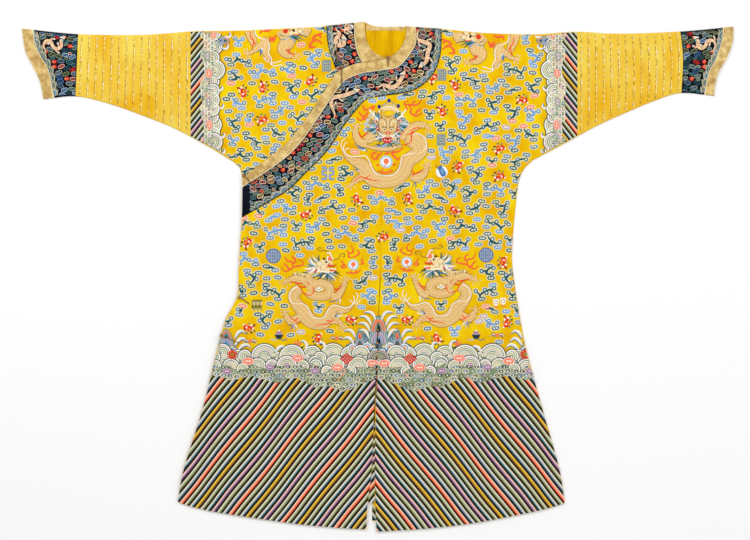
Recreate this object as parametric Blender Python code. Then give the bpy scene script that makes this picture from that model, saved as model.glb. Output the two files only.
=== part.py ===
"""A dragon robe of the Qing court cut, laid flat on its back.

Millimetres in the tables, metres in the meshes. +X is the wearer's left, +Y runs from the hem to the
neck and +Z is up, out of the chest. The origin is on the floor under the middle of the laid-out robe.

The cloth is a stack of thin walls: the back on the floor, a lining inside the neck, the inner front,
then the outer front with its lapel. The front walls turn down round the back along shoulders and sides.
Each sleeve is a chain of flattened tubes. Bands, border and piping are raised from the very triangles
of the panel under them, so that they lie on it everywhere.
"""

import math

import bpy
from mathutils import Vector
from mathutils.bvhtree import BVHTree
from mathutils.geometry import delaunay_2d_cdt
from mathutils.kdtree import KDTree

MM = 0.001
CLOTH = 1.6  # thickness of one wall: silk, interlining and lining together
SEAM = 0.3  # gap kept between two pieces
TRIM = 1.2  # thickness of the bands and the border
PIPING = 1.9  # height of the corded piping
PIPING_WIDTH = 3.0

# Heights of the underside of each layer.
LINING_Z = CLOTH + SEAM
LINING_THICK = 1.0
FRONT_Z = LINING_Z + LINING_THICK + SEAM
LAPEL_Z = FRONT_Z + CLOTH + 0.4
HEM_Z = 2.0
SLEEVE_TOP = FRONT_Z + CLOTH

# The rounded fold along shoulders and sides: the front wall starts on the floor and is clear of the
# back's edge this far in.
FOLD_IN = 2.2
FOLD_Z = CLOTH + 0.35
FOLD_RUN = 30.0
BACK_INSET = 2.6
UNDER_INSET = 5.0  # the inner front stays this far inside the lapel's side edge
LAPEL_RIM = 6.0  # the lapel's side edge drops by LAPEL_DROP over this width
LAPEL_DROP = 1.0
HEM_RUN = 40.0  # the outer front comes down to HEM_Z over this distance from its hem
OVERRUN = 60.0

STEP = 34.0  # point spacing along outlines
LATTICE = 46.0  # point spacing inside the panels

# Seams that run across the sleeves, by x.
SHOULDER_SEAM = {"left": 420.0, "right": -390.0}
RIBBED_SEAM = {"left": 539.0, "right": -504.0}

# Outline curves, each a table of (x, y). "Left" is the wearer's.
SHOULDER = {
    "left": [(74, 676), (171, 669), (277, 659), (420, 654), (539, 661), (649, 656), (819, 662), (960, 675)],
    "right": [
        (-34, 688), (-139, 677), (-209, 672), (-390, 664), (-504, 662), (-632, 653), (-809, 655), (-960, 670),
    ],
}
UNDERSLEEVE = {
    "left": [(420, 315), (471, 342), (539, 379), (601, 412), (682, 448), (747, 475), (819, 496), (910, 488)],
    "right": [(-390, 311), (-466, 357), (-545, 399), (-610, 426), (-718, 465), (-814, 487), (-903, 479)],
}
SIDE = {
    "left": [
        (420, 315), (398, 294), (382, 261), (377, 229), (366, 115), (363, 51), (367, 2), (385, -111),
        (405, -209), (444, -354), (490, -516), (505, -611),
    ],
    "right": [
        (-390, 311), (-371, 294), (-365, 265), (-366, 164), (-374, 34), (-379, -55), (-408, -111),
        (-436, -209), (-471, -354), (-522, -516), (-539, -608),
    ],
}
HEM = {
    "left": [(-3, -688), (139, -679), (277, -662), (439, -630), (505, -611)],
    "right": [(-539, -608), (-458, -631), (-250, -663), (-128, -676), (-30, -682)],
}
BACK_HEM = {
    "left": [(-15, -659), (142, -651), (331, -627), (500, -602)],
    "right": [(-536, -598), (-371, -624), (-209, -643), (-53, -657)],
}
CENTRE_SEAM = [(23, 589), (15, 545), (11, 485), (10, 207), (8, 18), (1, -157), (-3, -233)]
VENT_LEFT = [(-3, -233), (-6, -441), (-7, -549), (-3, -688)]
VENT_RIGHT = [(-3, -233), (-9, -360), (-16, -522), (-27, -614), (-30, -682)]
NECK_LEFT = [(74, 676), (76, 650), (66, 623), (49, 603), (23, 589)]
NECK_RIGHT = [(-34, 688), (-32, 650), (-23, 623), (-7, 604), (23, 589)]
NECK_BACK = [(-30, 684.5), (-15, 678), (20, 673.5), (58, 675), (70.5, 673.5)]
NECK_BACK_BAND_FOOT = 664.0

LAPEL_EDGE = [
    (23, 589), (-15, 580), (-53, 576), (-85, 565), (-109, 551), (-158, 478), (-197, 418), (-253, 353),
    (-318, 302), (-365, 265),
]
BAND_FOOT = [
    (103, 674), (103, 626), (61, 569), (23, 558), (-34, 550), (-66, 540), (-90, 527), (-124, 483),
    (-167, 418), (-218, 349), (-279, 297), (-365, 241),
]
BORDER_FOOT = [
    (173, 668.5), (171, 607), (156, 556), (122, 517), (79, 497), (5, 486), (-29, 478), (-55, 452),
    (-89, 409), (-128, 349), (-158, 314), (-193, 280), (-236, 237), (-283, 207), (-365.5, 160),
]
UNDER_BAND_EDGE = [(-63, 685), (-62, 640), (-55, 605), (-41, 577)]
UNDER_BORDER_EDGE = [(-139, 677), (-132, 616), (-109, 551)]

# The inner front ends under the wearer's left front, and its hem is shorter than the robe's.
UNDER_EDGE = [(23, 589), (34, 558), (45, 207), (47, -611)]
UNDER_HEM = [(-526, -556), (-317, -587), (-128, -605), (47, -611)]
LEVEL_X = (58.0, 130.0)  # the left front comes down from over that edge between these
LINING = [
    (-250, 300), (280, 300), (280, 612), (110, 622), (71, 634), (70.5, 670), (-30.5, 670), (-31, 634),
    (-70, 622), (-250, 612),
]

BACK_SEAM = [(20, 673.5), (-8, -233)]
BACK_VENT = {"left": [(-8, -233), (-15, -659)], "right": [(-8, -233), (-53, -657)]}

# The cuffs: the seam, the gold band's inner line and the open end, from the lower edge to the upper.
CUFF_SEAM = {"left": [(820, 495), (824, 587), (817, 662)], "right": [(-815, 487), (-811, 575), (-808, 655)]}
CUFF_BAND = {
    "left": [(884, 492), (895, 550), (916, 593), (932, 641), (935, 672)],
    "right": [(-875, 485), (-890, 562), (-912, 601), (-927, 635), (-931, 667)],
}
CUFF_END = {
    "left": [(908, 488), (910, 512), (919, 550), (943, 593), (958, 635), (960, 675)],
    "right": [(-902, 479), (-905, 502), (-914, 537), (-933, 575), (-950, 610), (-960, 670)],
}
RIB_COUNT = {"left": 14, "right": 15}
RIB_WIDTH = 6.0
RIB_HEIGHT = 1.1

# Soft ridges left by folding and by the hang of the cloth: start, end, half width and height.
RIDGES = [
    ((-300, 40), (-345, -560), 34, 3.0),
    ((-180, -40), (-215, -660), 40, 2.4),
    ((-70, 60), (-95, -640), 30, 1.8),
    ((120, 40), (140, -660), 36, 2.2),
    ((235, 90), (285, -650), 42, 3.0),
    ((325, 10), (415, -620), 30, 2.6),
    ((330, 250), (150, 420), 38, 2.6),
    ((300, 160), (110, 215), 32, 1.6),
    ((-300, 200), (-120, 90), 34, 2.2),
    ((-330, 120), (-170, -30), 30, 1.5),
    ((260, 640), (330, 380), 36, 1.8),
    ((-260, 640), (-330, 420), 34, 2.2),
    ((430, 360), (610, 520), 34, 2.4),
    ((470, 640), (700, 560), 30, 1.8),
    ((-400, 350), (-600, 520), 34, 2.6),
    ((-470, 640), (-700, 570), 30, 1.6),
    ((640, 470), (800, 600), 26, 1.5),
    ((-650, 470), (-800, 590), 26, 1.5),
    ((850, 520), (900, 640), 20, 1.4),
    ((-840, 520), (-900, 630), 20, 1.4),
]
MOST_RIDGE = 3.4

# Ball-and-loop fastenings: the ball's place and the corded strips that hold it.
KNOB_RADIUS = 4.6
KNOB_SQUASH = 0.9
# Where the height of the cloth is felt under a round thing, as shares of its radius.
RAYS = [(0, 0), (1, 0), (-1, 0), (0, 1), (0, -1), (0.7, 0.7), (-0.7, 0.7), (0.7, -0.7), (-0.7, -0.7)]
LOOP_RADIUS = 1.5
TOGGLES = {
    "neck": ((27, 591), [[(28, 585.5), (28, 566)]]),
    "collar": ((-96, 567), [[(-109, 628), (-111, 600), (-107, 577)], [(-97, 559), (-96, 510)]]),
    "underarm": ((-362, 273), [[(-355, 268), (-319, 227)]]),
    "waist": ((-373, -56), [[(-366, -59), (-346, -73)]]),
    "hip": ((-421, -158), [[(-414, -161), (-373, -179)]]),
}

COLOURS = {
    "silk": ((0.80, 0.52, 0.02), 0.45),
    "lining": ((0.72, 0.42, 0.01), 0.5),
    "ribbed": ((0.86, 0.64, 0.12), 0.45),
    "gold": ((0.50, 0.32, 0.10), 0.4),
    "navy": ((0.012, 0.014, 0.035), 0.5),
    "piping": ((0.75, 0.66, 0.45), 0.5),
    "knob": ((0.45, 0.25, 0.07), 0.3),
}


def clear_scene():
    for obj in list(bpy.data.objects):
        bpy.data.objects.remove(obj, do_unlink=True)


def material(name):
    """The Principled material of one colour, made once."""
    found = bpy.data.materials.get(name)
    if found:
        return found
    made = bpy.data.materials.new(name)
    made.use_nodes = True
    shader = made.node_tree.nodes["Principled BSDF"]
    colour, rough = COLOURS[name]
    shader.inputs["Base Color"].default_value = (*colour, 1.0)
    shader.inputs["Roughness"].default_value = rough
    made.diffuse_color = (*colour, 1.0)
    return made


def smoothstep(value):
    held = min(1.0, max(0.0, value))
    return held * held * (3 - 2 * held)


def curve(points, step=STEP):
    """Points about a step apart on a smooth curve through the given ones."""
    knots = [Vector(p) for p in points]
    knots = [2 * knots[0] - knots[1], *knots, 2 * knots[-1] - knots[-2]]
    path = []
    for before, start, end, after in zip(knots, knots[1:], knots[2:], knots[3:]):
        count = max(1, round((end - start).length / step))
        for k in range(count):
            t = k / count
            path.append(
                0.5 * (2 * start + (end - before) * t + (2 * before - 5 * start + 4 * end - after) * t**2
                       + (3 * start - before - 3 * end + after) * t**3)
            )
    return [*path, knots[-2]]


def chain(*paths):
    """The paths joined end to end, with a shared end kept once."""
    joined = []
    for path in paths:
        for point in path:
            if not joined or (Vector(point) - joined[-1]).length > 0.05:
                joined.append(Vector(point))
    return joined


def shifted(path, distance):
    """The path moved to its left side, or to its right by a negative distance."""
    moved = []
    for i, point in enumerate(path):
        along = (path[min(i + 1, len(path) - 1)] - path[max(i - 1, 0)]).normalized()
        moved.append(point + distance * Vector((-along.y, along.x)))
    return moved


def inside(point, outline):
    x, y = point
    found = False
    for a, b in zip(outline, [*outline[1:], outline[0]]):
        if (a[1] > y) != (b[1] > y) and x < a[0] + (y - a[1]) / (b[1] - a[1]) * (b[0] - a[0]):
            found = not found
    return found


def distance_to(path, point):
    """The distance from a point to an open path."""
    best = math.inf
    for a, b in zip(path, path[1:]):
        run = b - a
        t = min(1.0, max(0.0, (point - a).dot(run) / run.length_squared))
        best = min(best, (point - a - t * run).length)
    return best


def height_on(path, x):
    """y of an outline curve at x."""
    ordered = path if path[0].x < path[-1].x else path[::-1]
    for a, b in zip(ordered, ordered[1:]):
        if x <= b.x:
            break
    return a.y + (b.y - a.y) * (x - a.x) / (b.x - a.x)


def ridges_at(point):
    """How far the cloth rises above its base at a point."""
    rise = 0.0
    for start, end, width, height in RIDGES:
        a, b = Vector(start), Vector(end)
        run = b - a
        t = (point - a).dot(run) / run.length_squared
        across = (point - a - t * run).length / width
        taper = smoothstep((t + 0.15) / 0.4) * smoothstep((1.15 - t) / 0.4)
        rise += height * math.exp(-across * across) * taper
    return MOST_RIDGE * math.tanh(rise / MOST_RIDGE)


def plan(outline, lines=(), lattice=LATTICE):
    """A flat triangulation inside an outline, as (points, triangles).

    The outline and the lines become edges, and a staggered lattice fills the rest.
    """
    points, edges = [], []
    for path, closed in [(outline, True), *((line, False) for line in lines)]:
        first = len(points)
        points += [Vector(p) for p in path]
        edges += [(i, i + 1) for i in range(first, len(points) - 1)]
        if closed:
            edges.append((len(points) - 1, first))
    marks = [points[a].lerp(points[b], t) for a, b in edges for t in (0.0, 0.5)]
    near = KDTree(len(marks))
    for i, mark in enumerate(marks):
        near.insert((*mark, 0.0), i)
    near.balance()
    low_y, high_y = min(p.y for p in outline), max(p.y for p in outline)
    low_x, high_x = min(p.x for p in outline), max(p.x for p in outline)
    row_gap = lattice * math.sqrt(3) / 2
    for row in range(math.ceil((high_y - low_y) / row_gap)):
        for column in range(math.ceil((high_x - low_x) / lattice)):
            point = Vector((low_x + (column + 0.5 * (row % 2)) * lattice, low_y + row * row_gap))
            if near.find((*point, 0.0))[2] > 0.55 * lattice and inside(point, outline):
                points.append(point)
    found, _, faces, *_ = delaunay_2d_cdt(points, edges, [], 0, 0.02)
    corners = [Vector(p) for p in found]
    kept = []
    for face in faces:
        a, b, c = (corners[i] for i in face)
        if inside((a + b + c) / 3, outline):
            kept.append(tuple(face) if (b - a).cross(c - a) > 0 else tuple(face)[::-1])
    return corners, kept


def mesh_object(name, points, faces, colour):
    mesh = bpy.data.meshes.new(name)
    mesh.from_pydata([Vector(p) * MM for p in points], [], faces)
    mesh.materials.append(material(colour))
    obj = bpy.data.objects.new(name, mesh)
    bpy.context.scene.collection.objects.link(obj)
    return obj


def wall(name, cut, region, under, thick, colour):
    """The part of a plan inside a region, as a wall between an underside and a thickness above it.

    Its outer points move in by half a seam, so that neighbours in one plan keep the seam's gap.
    """
    corners, triangles = cut
    middles = [sum((corners[k] for k in f), Vector((0, 0))) / 3 for f in triangles]
    chosen = [f for f, middle in zip(triangles, middles) if region is None or region(middle)]
    sides = {(f[k], f[(k + 1) % 3]) for f in chosen for k in range(3)}
    rim = {a: b for a, b in sides if (b, a) not in sides}
    before = {b: a for a, b in rim.items()}
    used = sorted({i for f in chosen for i in f})
    index = {old: new for new, old in enumerate(used)}
    low, high = [], []
    for i in used:
        place = corners[i].copy()
        base = under(corners[i])
        if i in rim:
            ahead = (corners[rim[i]] - corners[i]).normalized()
            behind = (corners[i] - corners[before[i]]).normalized()
            inward = Vector((-ahead.y - behind.y, ahead.x + behind.x))
            place += inward.normalized() * (SEAM / 2) / max(0.5, inward.length / 2)
        low.append((place.x, place.y, base))
        high.append((place.x, place.y, base + thick))
    count = len(used)
    faces = [tuple(index[i] + count for i in f) for f in chosen]
    faces += [tuple(index[i] for i in f[::-1]) for f in chosen]
    for a, b in rim.items():
        faces.append((index[a], index[b], index[b] + count, index[a] + count))
    return mesh_object(name, low + high, faces, colour)


def flat_tube(name, side, start, end, runs, colour, raised=0.0, ribs=False):
    """A flattened tube of cloth between two lines across a sleeve.

    runs lists the shares of the way along at which it has a ring, with the extra height of each.
    """
    lower, upper = curve(UNDERSLEEVE[side]), curve(SHOULDER[side])
    fractions = [0.012, 0.12, 0.3, 0.5, 0.7, 0.88, 0.988]
    outer, inner = [], []
    for share, extra in runs:
        for loop, shrink in ((outer, 0.0), (inner, CLOTH)):
            upper_points, lower_points = [], []
            for v in (0.0, *fractions, 1.0):
                x = start(v) + (end(v) - start(v)) * share
                low_y, high_y = height_on(lower, x), height_on(upper, x)
                y = low_y + (high_y - low_y) * v
                top = SLEEVE_TOP + raised + ridges_at(Vector((x, y)))
                if v in (0.0, 1.0):
                    y += (1 if v == 0.0 else -1) * shrink * 1.4
                    upper_points.append((x, y, 2.0))
                    continue
                edge = v in (fractions[0], fractions[-1])
                y += (1 if v < 0.5 else -1) * shrink * 0.6 * edge
                z = FOLD_Z + CLOTH + 0.3 if edge else top + extra * (shrink == 0)
                upper_points.append((x, y, z - shrink))
                lower_points.append((x, y, shrink))
            loop.append(upper_points + lower_points[::-1])
    if ribs:
        inner = [inner[0], *inner[8:-8:12], inner[-1]]
    size = len(outer[0])
    points = [p for ring in outer + inner for p in ring]
    turn = 1 if end(0.5) > start(0.5) else -1
    faces = []

    def skin(first, count, way):
        for r in range(count - 1):
            for k in range(size):
                a, b = first + r * size + k, first + r * size + (k + 1) % size
                faces.append((a, b, b + size, a + size)[::way])

    skin(0, len(outer), -turn)
    inner_first = len(outer) * size
    skin(inner_first, len(inner), turn)
    for outer_ring, inner_ring, way in (
        (0, inner_first, turn),
        ((len(outer) - 1) * size, inner_first + (len(inner) - 1) * size, -turn),
    ):
        for k in range(size):
            n = (k + 1) % size
            faces.append((outer_ring + k, outer_ring + n, inner_ring + n, inner_ring + k)[::way])
    return mesh_object(name, points, faces, colour)


def line_at(path, shift=0.0):
    """A function from the share of a sleeve's width, 0 at its lower edge, to x on a line across it."""
    smooth = curve(path, 8.0)
    low, high = smooth[0].y, smooth[-1].y

    def x_at(share):
        y = low + (high - low) * share
        for a, b in zip(smooth, smooth[1:]):
            if y <= b.y or b is smooth[-1]:
                break
        return a.x + (b.x - a.x) * (y - a.y) / max(b.y - a.y, 1e-6) + shift

    return x_at


def straight_at(x):
    return lambda share: x


def even_runs(count):
    return [(k / (count - 1), 0.0) for k in range(count)]


def rib_runs(length, count):
    """Rings for evenly spaced ribs along a sleeve, three to a rib."""
    runs = [(0.0, 0.0)]
    for k in range(count):
        middle = (k + 0.5) / count
        half = RIB_WIDTH / 2 / length
        runs += [(middle - half, 0.0), (middle, RIB_HEIGHT), (middle + half, 0.0)]
    return [*runs, (1.0, 0.0)]


def build_sleeve(side):
    """One sleeve as a chain of tubes, from the shoulder seam to the open cuff."""
    out = 1 if side == "left" else -1
    gap = out * SEAM / 2
    shoulder = SHOULDER_SEAM[side] + gap
    ribbed = RIBBED_SEAM[side]
    seam, band, end = CUFF_SEAM[side], CUFF_BAND[side], CUFF_END[side]
    runs = rib_runs(abs(line_at(seam)(0.5) - ribbed), RIB_COUNT[side])
    piping = out * PIPING_WIDTH
    for name, start, finish, columns, colour, options in (
        ("sleeve_upper", straight_at(shoulder), straight_at(ribbed - gap), even_runs(5), "silk", {}),
        ("sleeve_ribbed", straight_at(ribbed + gap), line_at(seam, -gap), runs, "ribbed", {"ribs": True}),
        ("cuff", line_at(seam, gap), line_at(band, -piping - gap), even_runs(4), "navy", {}),
        ("cuff_piping", line_at(band, gap - piping), line_at(band, -gap), even_runs(2), "piping",
         {"raised": 1.2}),
        ("cuff_band", line_at(band, gap), line_at(end), even_runs(2), "gold", {"raised": 0.6}),
    ):
        flat_tube(f"{name}_{side}", side, start, finish, columns, colour, **options)


def fold_ring(path, start_edge, end_edge, distance):
    """A path moved in from a folded edge, whose ends lie on the neighbouring edges of the panel."""
    ring = shifted(path, distance)
    for place, along, corner in ((0, start_edge, path[0]), (-1, end_edge, path[-1])):
        tangent = (path[1] - path[0] if place == 0 else path[-1] - path[-2]).normalized()
        direction = along.normalized()
        ring[place] = corner + direction * abs(distance / tangent.cross(direction))
    return ring


def fold_height(base, distance):
    """The underside's height near an edge that is folded down to the floor."""
    if distance < FOLD_IN:
        return FOLD_Z * distance / FOLD_IN
    return FOLD_Z + (base - FOLD_Z) * min(1.0, (distance - FOLD_IN) / FOLD_RUN)


class Outlines:
    """The smooth outline curves, worked out once."""

    def __init__(self):
        self.shoulder, self.side, self.hem = {}, {}, {}
        for side in ("left", "right"):
            seam = SHOULDER_SEAM[side]
            whole = curve(SHOULDER[side])
            self.shoulder[side] = [p for p in whole if abs(p.x) <= abs(seam) + 0.5]
            self.side[side] = curve(SIDE[side])
            self.hem[side] = curve(HEM[side])
        self.centre = curve(CENTRE_SEAM)
        self.vent_left = curve(VENT_LEFT)
        self.vent_right = curve(VENT_RIGHT)
        self.neck_left = curve(NECK_LEFT, 12.0)
        self.neck_right = curve(NECK_RIGHT, 12.0)
        self.lapel = curve(LAPEL_EDGE, 24.0)
        self.band_foot = curve(BAND_FOOT, 24.0)
        self.border_foot = curve(BORDER_FOOT, 24.0)
        self.lapel_side = [p for p in self.side["right"] if p.y <= 265.5]


def build_back(lines):
    """The two halves of the back, the lining inside the neck and the band round the back neck."""
    made = []
    for side, out in (("left", 1), ("right", -1)):
        shoulder = lines.shoulder[side]
        side_path = lines.side[side]
        shoulder_in = shifted(shoulder, -out * BACK_INSET)
        shoulder_in[-1] = Vector((SHOULDER_SEAM[side], shoulder[-1].y - BACK_INSET))
        inset = BACK_INSET + (UNDER_INSET if side == "right" else 0.0)
        side_in = shifted(side_path, -out * inset)
        side_in[0] = Vector((SHOULDER_SEAM[side], side_path[0].y + inset * 1.4))
        side_in = [p for p in side_in if p.y > BACK_HEM[side][-1 if out > 0 else 0][1] + 8]
        hem = curve(BACK_HEM[side])
        if side == "left":
            neck = [p for p in curve(NECK_BACK, 12.0) if p.x > 21]
        else:
            neck = [p for p in curve(NECK_BACK, 12.0)[::-1] if p.x < 19]
        hem_out = hem if side == "left" else hem[::-1]
        outline = chain(
            curve(BACK_VENT[side], 200.0), hem_out, side_in[::-1], shoulder_in[::-1], neck[::-1],
            curve(BACK_SEAM, 300.0),
        )
        if side == "right":
            outline = outline[::-1]
        made.append(wall(f"back_{side}", plan(outline, lattice=160.0), None, lambda p: 0.0, CLOTH, "silk"))
    lining = plan(chain(LINING), lattice=160.0)
    made.append(wall("back_lining", lining, None, lambda p: LINING_Z, LINING_THICK, "lining"))
    band = chain(curve(NECK_BACK, 12.0), [(70.5, NECK_BACK_BAND_FOOT), (-30, NECK_BACK_BAND_FOOT)])
    made.append(wall("neck_band_back", plan(band[::-1]), None, lambda p: FRONT_Z, TRIM, "gold"))
    return made


def overrun(path, past=2.0):
    """The path with its ends carried past the panel's edge."""
    before = path[0] + (path[0] - path[1]).normalized() * past
    after = path[-1] + (path[-1] - path[-2]).normalized() * past
    return [before, *path, after]


def between(first, second):
    """The region between two paths that run the same way, carried well past both ends."""
    return overrun(first, OVERRUN) + overrun(second, OVERRUN)[::-1]


def raised_on(cut, under, pieces):
    """Trim raised from the plan of the panel under it. Each piece is a name, a test, a height and a colour."""
    made = []
    for name, belongs, height, colour in pieces:
        made.append(wall(name, cut, belongs, lambda p: under(p) + CLOTH + SEAM, height, colour))
    return made


def build_under_front(lines):
    """The inner front with its share of the neck's band, piping and border."""
    hem = curve(UNDER_HEM)
    side_in = [p + Vector((UNDER_INSET * smoothstep((262 - p.y) / 60), 0.0)) for p in lines.side["right"]]
    side_in = [p for p in side_in if p.y > hem[0].y + 10] + [hem[0]]
    shoulder = lines.shoulder["right"]
    seam = curve([shoulder[-1], side_in[0]])
    outline = chain(side_in, hem, curve(UNDER_EDGE)[::-1], lines.neck_right[::-1], shoulder, seam)[:-1]
    side_ring = fold_ring(side_in, seam[-2] - seam[-1], hem[1] - hem[0], FOLD_IN)
    neck_start = lines.neck_right[1] - lines.neck_right[0]
    shoulder_ring = fold_ring(shoulder, neck_start, seam[1] - seam[0], FOLD_IN)
    lapel_region = chain(lines.lapel, lines.lapel_side, lines.hem["right"], [(100, -688), (100, 589)])

    def under(point):
        fold = min(distance_to(side_in, point), distance_to(shoulder, point))
        open_cloth = 0.0 if inside(point, lapel_region) else smoothstep(distance_to(lines.lapel, point) / 70)
        ease = open_cloth * smoothstep((fold - 6) / 45)
        return fold_height(FRONT_Z, fold) + ridges_at(point) * ease

    band_edge = curve(UNDER_BAND_EDGE, 12.0)
    piping_edge = [p + Vector((PIPING_WIDTH, 0.0)) for p in band_edge]
    border_edge = curve(UNDER_BORDER_EDGE, 24.0)
    shown = [overrun(path) for path in (band_edge, piping_edge, border_edge)]
    cut = plan(outline, [side_ring, shoulder_ring, lines.lapel, *shown])
    made = [wall("front_right_inner", cut, None, under, CLOTH, "silk")]

    def above_lapel(first, second):
        zone = between(first, second)
        return lambda p: inside(p, zone) and not inside(p, lapel_region)

    return made + raised_on(cut, under, [
        ("neck_band_inner", above_lapel(piping_edge, lines.neck_right), TRIM, "gold"),
        ("neck_piping_inner", above_lapel(band_edge, piping_edge), PIPING, "piping"),
        ("neck_border_inner", above_lapel(border_edge, band_edge), TRIM, "navy"),
    ])


def build_outer_front(lines):
    """The wearer's left front and the lapel that crosses over, with the band, piping and border on both."""
    right_outline = chain(
        lines.lapel, lines.lapel_side, lines.hem["right"], lines.vent_right[::-1], lines.centre[::-1]
    )
    shoulder, side_path, hem = lines.shoulder["left"], lines.side["left"], lines.hem["left"]
    seam = curve([side_path[0], shoulder[-1]])
    left_outline = chain(
        lines.centre, lines.vent_left, hem, side_path[::-1], seam, shoulder[::-1], lines.neck_left
    )
    outline = chain(
        lines.lapel, lines.lapel_side, lines.hem["right"], lines.vent_right[::-1],
        lines.vent_left, hem, side_path[::-1], seam, shoulder[::-1], lines.neck_left,
    )[:-1]
    side_ring = fold_ring(side_path, seam[1] - seam[0], hem[-2] - hem[-1], -FOLD_IN)
    neck_start = lines.neck_left[1] - lines.neck_left[0]
    shoulder_ring = fold_ring(shoulder, neck_start, seam[-2] - seam[-1], -FOLD_IN)
    lapel_ring = shifted(lines.lapel_side, LAPEL_RIM)[1:-1]
    level_line = [Vector((LEVEL_X[0], y)) for y in range(-640, 541, 59)]
    hems = lines.hem["right"] + hem

    def under(point):
        over_edge = 1 - smoothstep((point.x - LEVEL_X[0]) / (LEVEL_X[1] - LEVEL_X[0]))
        base = FRONT_Z + (LAPEL_Z - FRONT_Z) * over_edge
        base += (HEM_Z - base) * (1 - smoothstep(distance_to(hems, point) / HEM_RUN))
        rim = distance_to(lines.lapel_side, point)
        if rim < LAPEL_RIM:
            base -= LAPEL_DROP * (1 - rim / LAPEL_RIM)
        fold = min(distance_to(side_path, point), distance_to(shoulder, point))
        neck = min(distance_to(lines.neck_left, point), distance_to(lines.lapel, point))
        ease = smoothstep((min(fold, rim) - 6) / 45) * (0.25 + 0.75 * smoothstep((neck - 20) / 120))
        return fold_height(base, fold) + ridges_at(point) * ease

    piping_edge = shifted(lines.band_foot, -PIPING_WIDTH)
    shown = [overrun(path) for path in (lines.band_foot, piping_edge, lines.border_foot)]
    cut = plan(outline, [lines.centre, side_ring, shoulder_ring, lapel_ring, level_line, *shown])
    made = [
        wall("front_right_outer", cut, lambda p: inside(p, right_outline), under, CLOTH, "silk"),
        wall("front_left", cut, lambda p: inside(p, left_outline), under, CLOTH, "silk"),
    ]
    open_edge = chain(lines.neck_left, lines.lapel)

    def strip(first, second):
        zone = between(first, second)
        return lambda p: inside(p, zone)

    return made + raised_on(cut, under, [
        ("lapel_band", strip(open_edge, piping_edge), TRIM, "gold"),
        ("lapel_piping", strip(piping_edge, lines.band_foot), PIPING, "piping"),
        ("lapel_border", strip(lines.band_foot, lines.border_foot), TRIM, "navy"),
    ])


def surface_finder(objects):
    """A function that gives the height of the top of the cloth near a point."""
    points, faces = [], []
    for obj in objects:
        first = len(points)
        points += [v.co / MM for v in obj.data.vertices]
        faces += [tuple(first + i for i in face.vertices) for face in obj.data.polygons]
    tree = BVHTree.FromPolygons(points, faces)

    def height(x, y, reach):
        """The highest cloth within a reach of the point, looking straight down."""
        found = 0.0
        for dx, dy in RAYS:
            hit = tree.ray_cast(Vector((x + dx * reach, y + dy * reach, 100.0)), Vector((0, 0, -1)))[0]
            if hit:
                found = max(found, hit.z)
        return found

    return height


def build_toggles(height):
    """The five ball-and-loop fastenings, drawn shut."""
    for name, (knob, loops) in TOGGLES.items():
        # The ball's underside curves up, so cloth under its rim may stand higher than under its middle.
        z = max(
            height(*knob, KNOB_RADIUS * reach) + SEAM + KNOB_RADIUS * KNOB_SQUASH * math.sqrt(1 - reach**2)
            for reach in (0.0, 0.4, 0.7, 0.9)
        )
        bpy.ops.mesh.primitive_uv_sphere_add(
            segments=12, ring_count=8, radius=KNOB_RADIUS * MM, location=(knob[0] * MM, knob[1] * MM, z * MM)
        )
        ball = bpy.context.object
        ball.name = f"knob_{name}"
        ball.scale = (1.0, 1.0, KNOB_SQUASH)
        ball.data.materials.append(material("knob"))
        ball.data.shade_smooth()
        for number, points in enumerate(loops, 1):
            path = curve(points, 9.0)
            strip = bpy.data.curves.new(f"loop_{name}_{number}", "CURVE")
            strip.dimensions = "3D"
            strip.bevel_depth = LOOP_RADIUS * MM
            strip.bevel_resolution = 1
            strip.use_fill_caps = True
            strip.materials.append(material("knob"))
            spline = strip.splines.new("POLY")
            spline.points.add(len(path) - 1)
            for point, place in zip(spline.points, path):
                lift = height(place.x, place.y, LOOP_RADIUS * 2) + SEAM + LOOP_RADIUS
                point.co = (place.x * MM, place.y * MM, lift * MM, 1.0)
            obj = bpy.data.objects.new(strip.name, strip)
            bpy.context.scene.collection.objects.link(obj)


def main():
    clear_scene()
    lines = Outlines()
    cloth = build_back(lines) + build_under_front(lines) + build_outer_front(lines)
    for side in ("left", "right"):
        build_sleeve(side)
    build_toggles(surface_finder(cloth))


main()
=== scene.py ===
"""The looks of a dragon robe laid flat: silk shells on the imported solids, with the embroidery as thread.

Tables are in millimetres in the frame's own axes: +X is the wearer's left, +Y runs from hem to neck.
"""

import math
import random

import bpy
import numpy as np
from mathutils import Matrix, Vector
from mathutils.bvhtree import BVHTree
from mathutils.geometry import delaunay_2d_cdt


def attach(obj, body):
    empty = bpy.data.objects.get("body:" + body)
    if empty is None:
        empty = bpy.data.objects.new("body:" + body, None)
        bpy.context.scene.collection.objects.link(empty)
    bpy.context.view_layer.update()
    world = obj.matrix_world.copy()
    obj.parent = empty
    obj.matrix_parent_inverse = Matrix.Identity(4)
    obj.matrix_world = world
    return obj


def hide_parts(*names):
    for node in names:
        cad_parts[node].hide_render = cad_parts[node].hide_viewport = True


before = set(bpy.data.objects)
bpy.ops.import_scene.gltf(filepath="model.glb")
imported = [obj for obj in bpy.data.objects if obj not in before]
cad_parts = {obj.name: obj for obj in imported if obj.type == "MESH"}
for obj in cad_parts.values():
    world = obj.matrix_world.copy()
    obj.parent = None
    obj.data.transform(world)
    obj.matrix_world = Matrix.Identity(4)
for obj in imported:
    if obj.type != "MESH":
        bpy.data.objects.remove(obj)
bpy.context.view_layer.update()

MM = 0.001
BODY = "root"
SIDES = ("left", "right")
FOLD_RADIUS = 4.5  # rounding of the folded edges
FOLD_FOOT = 1.5  # height of a folded edge's outermost line
SHELL = 1.3  # thickness of a cloth shell
TRIM_SHELL = 1.1  # thickness of a band's or border's shell
GRID = 5.0  # spacing of the height fields
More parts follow.
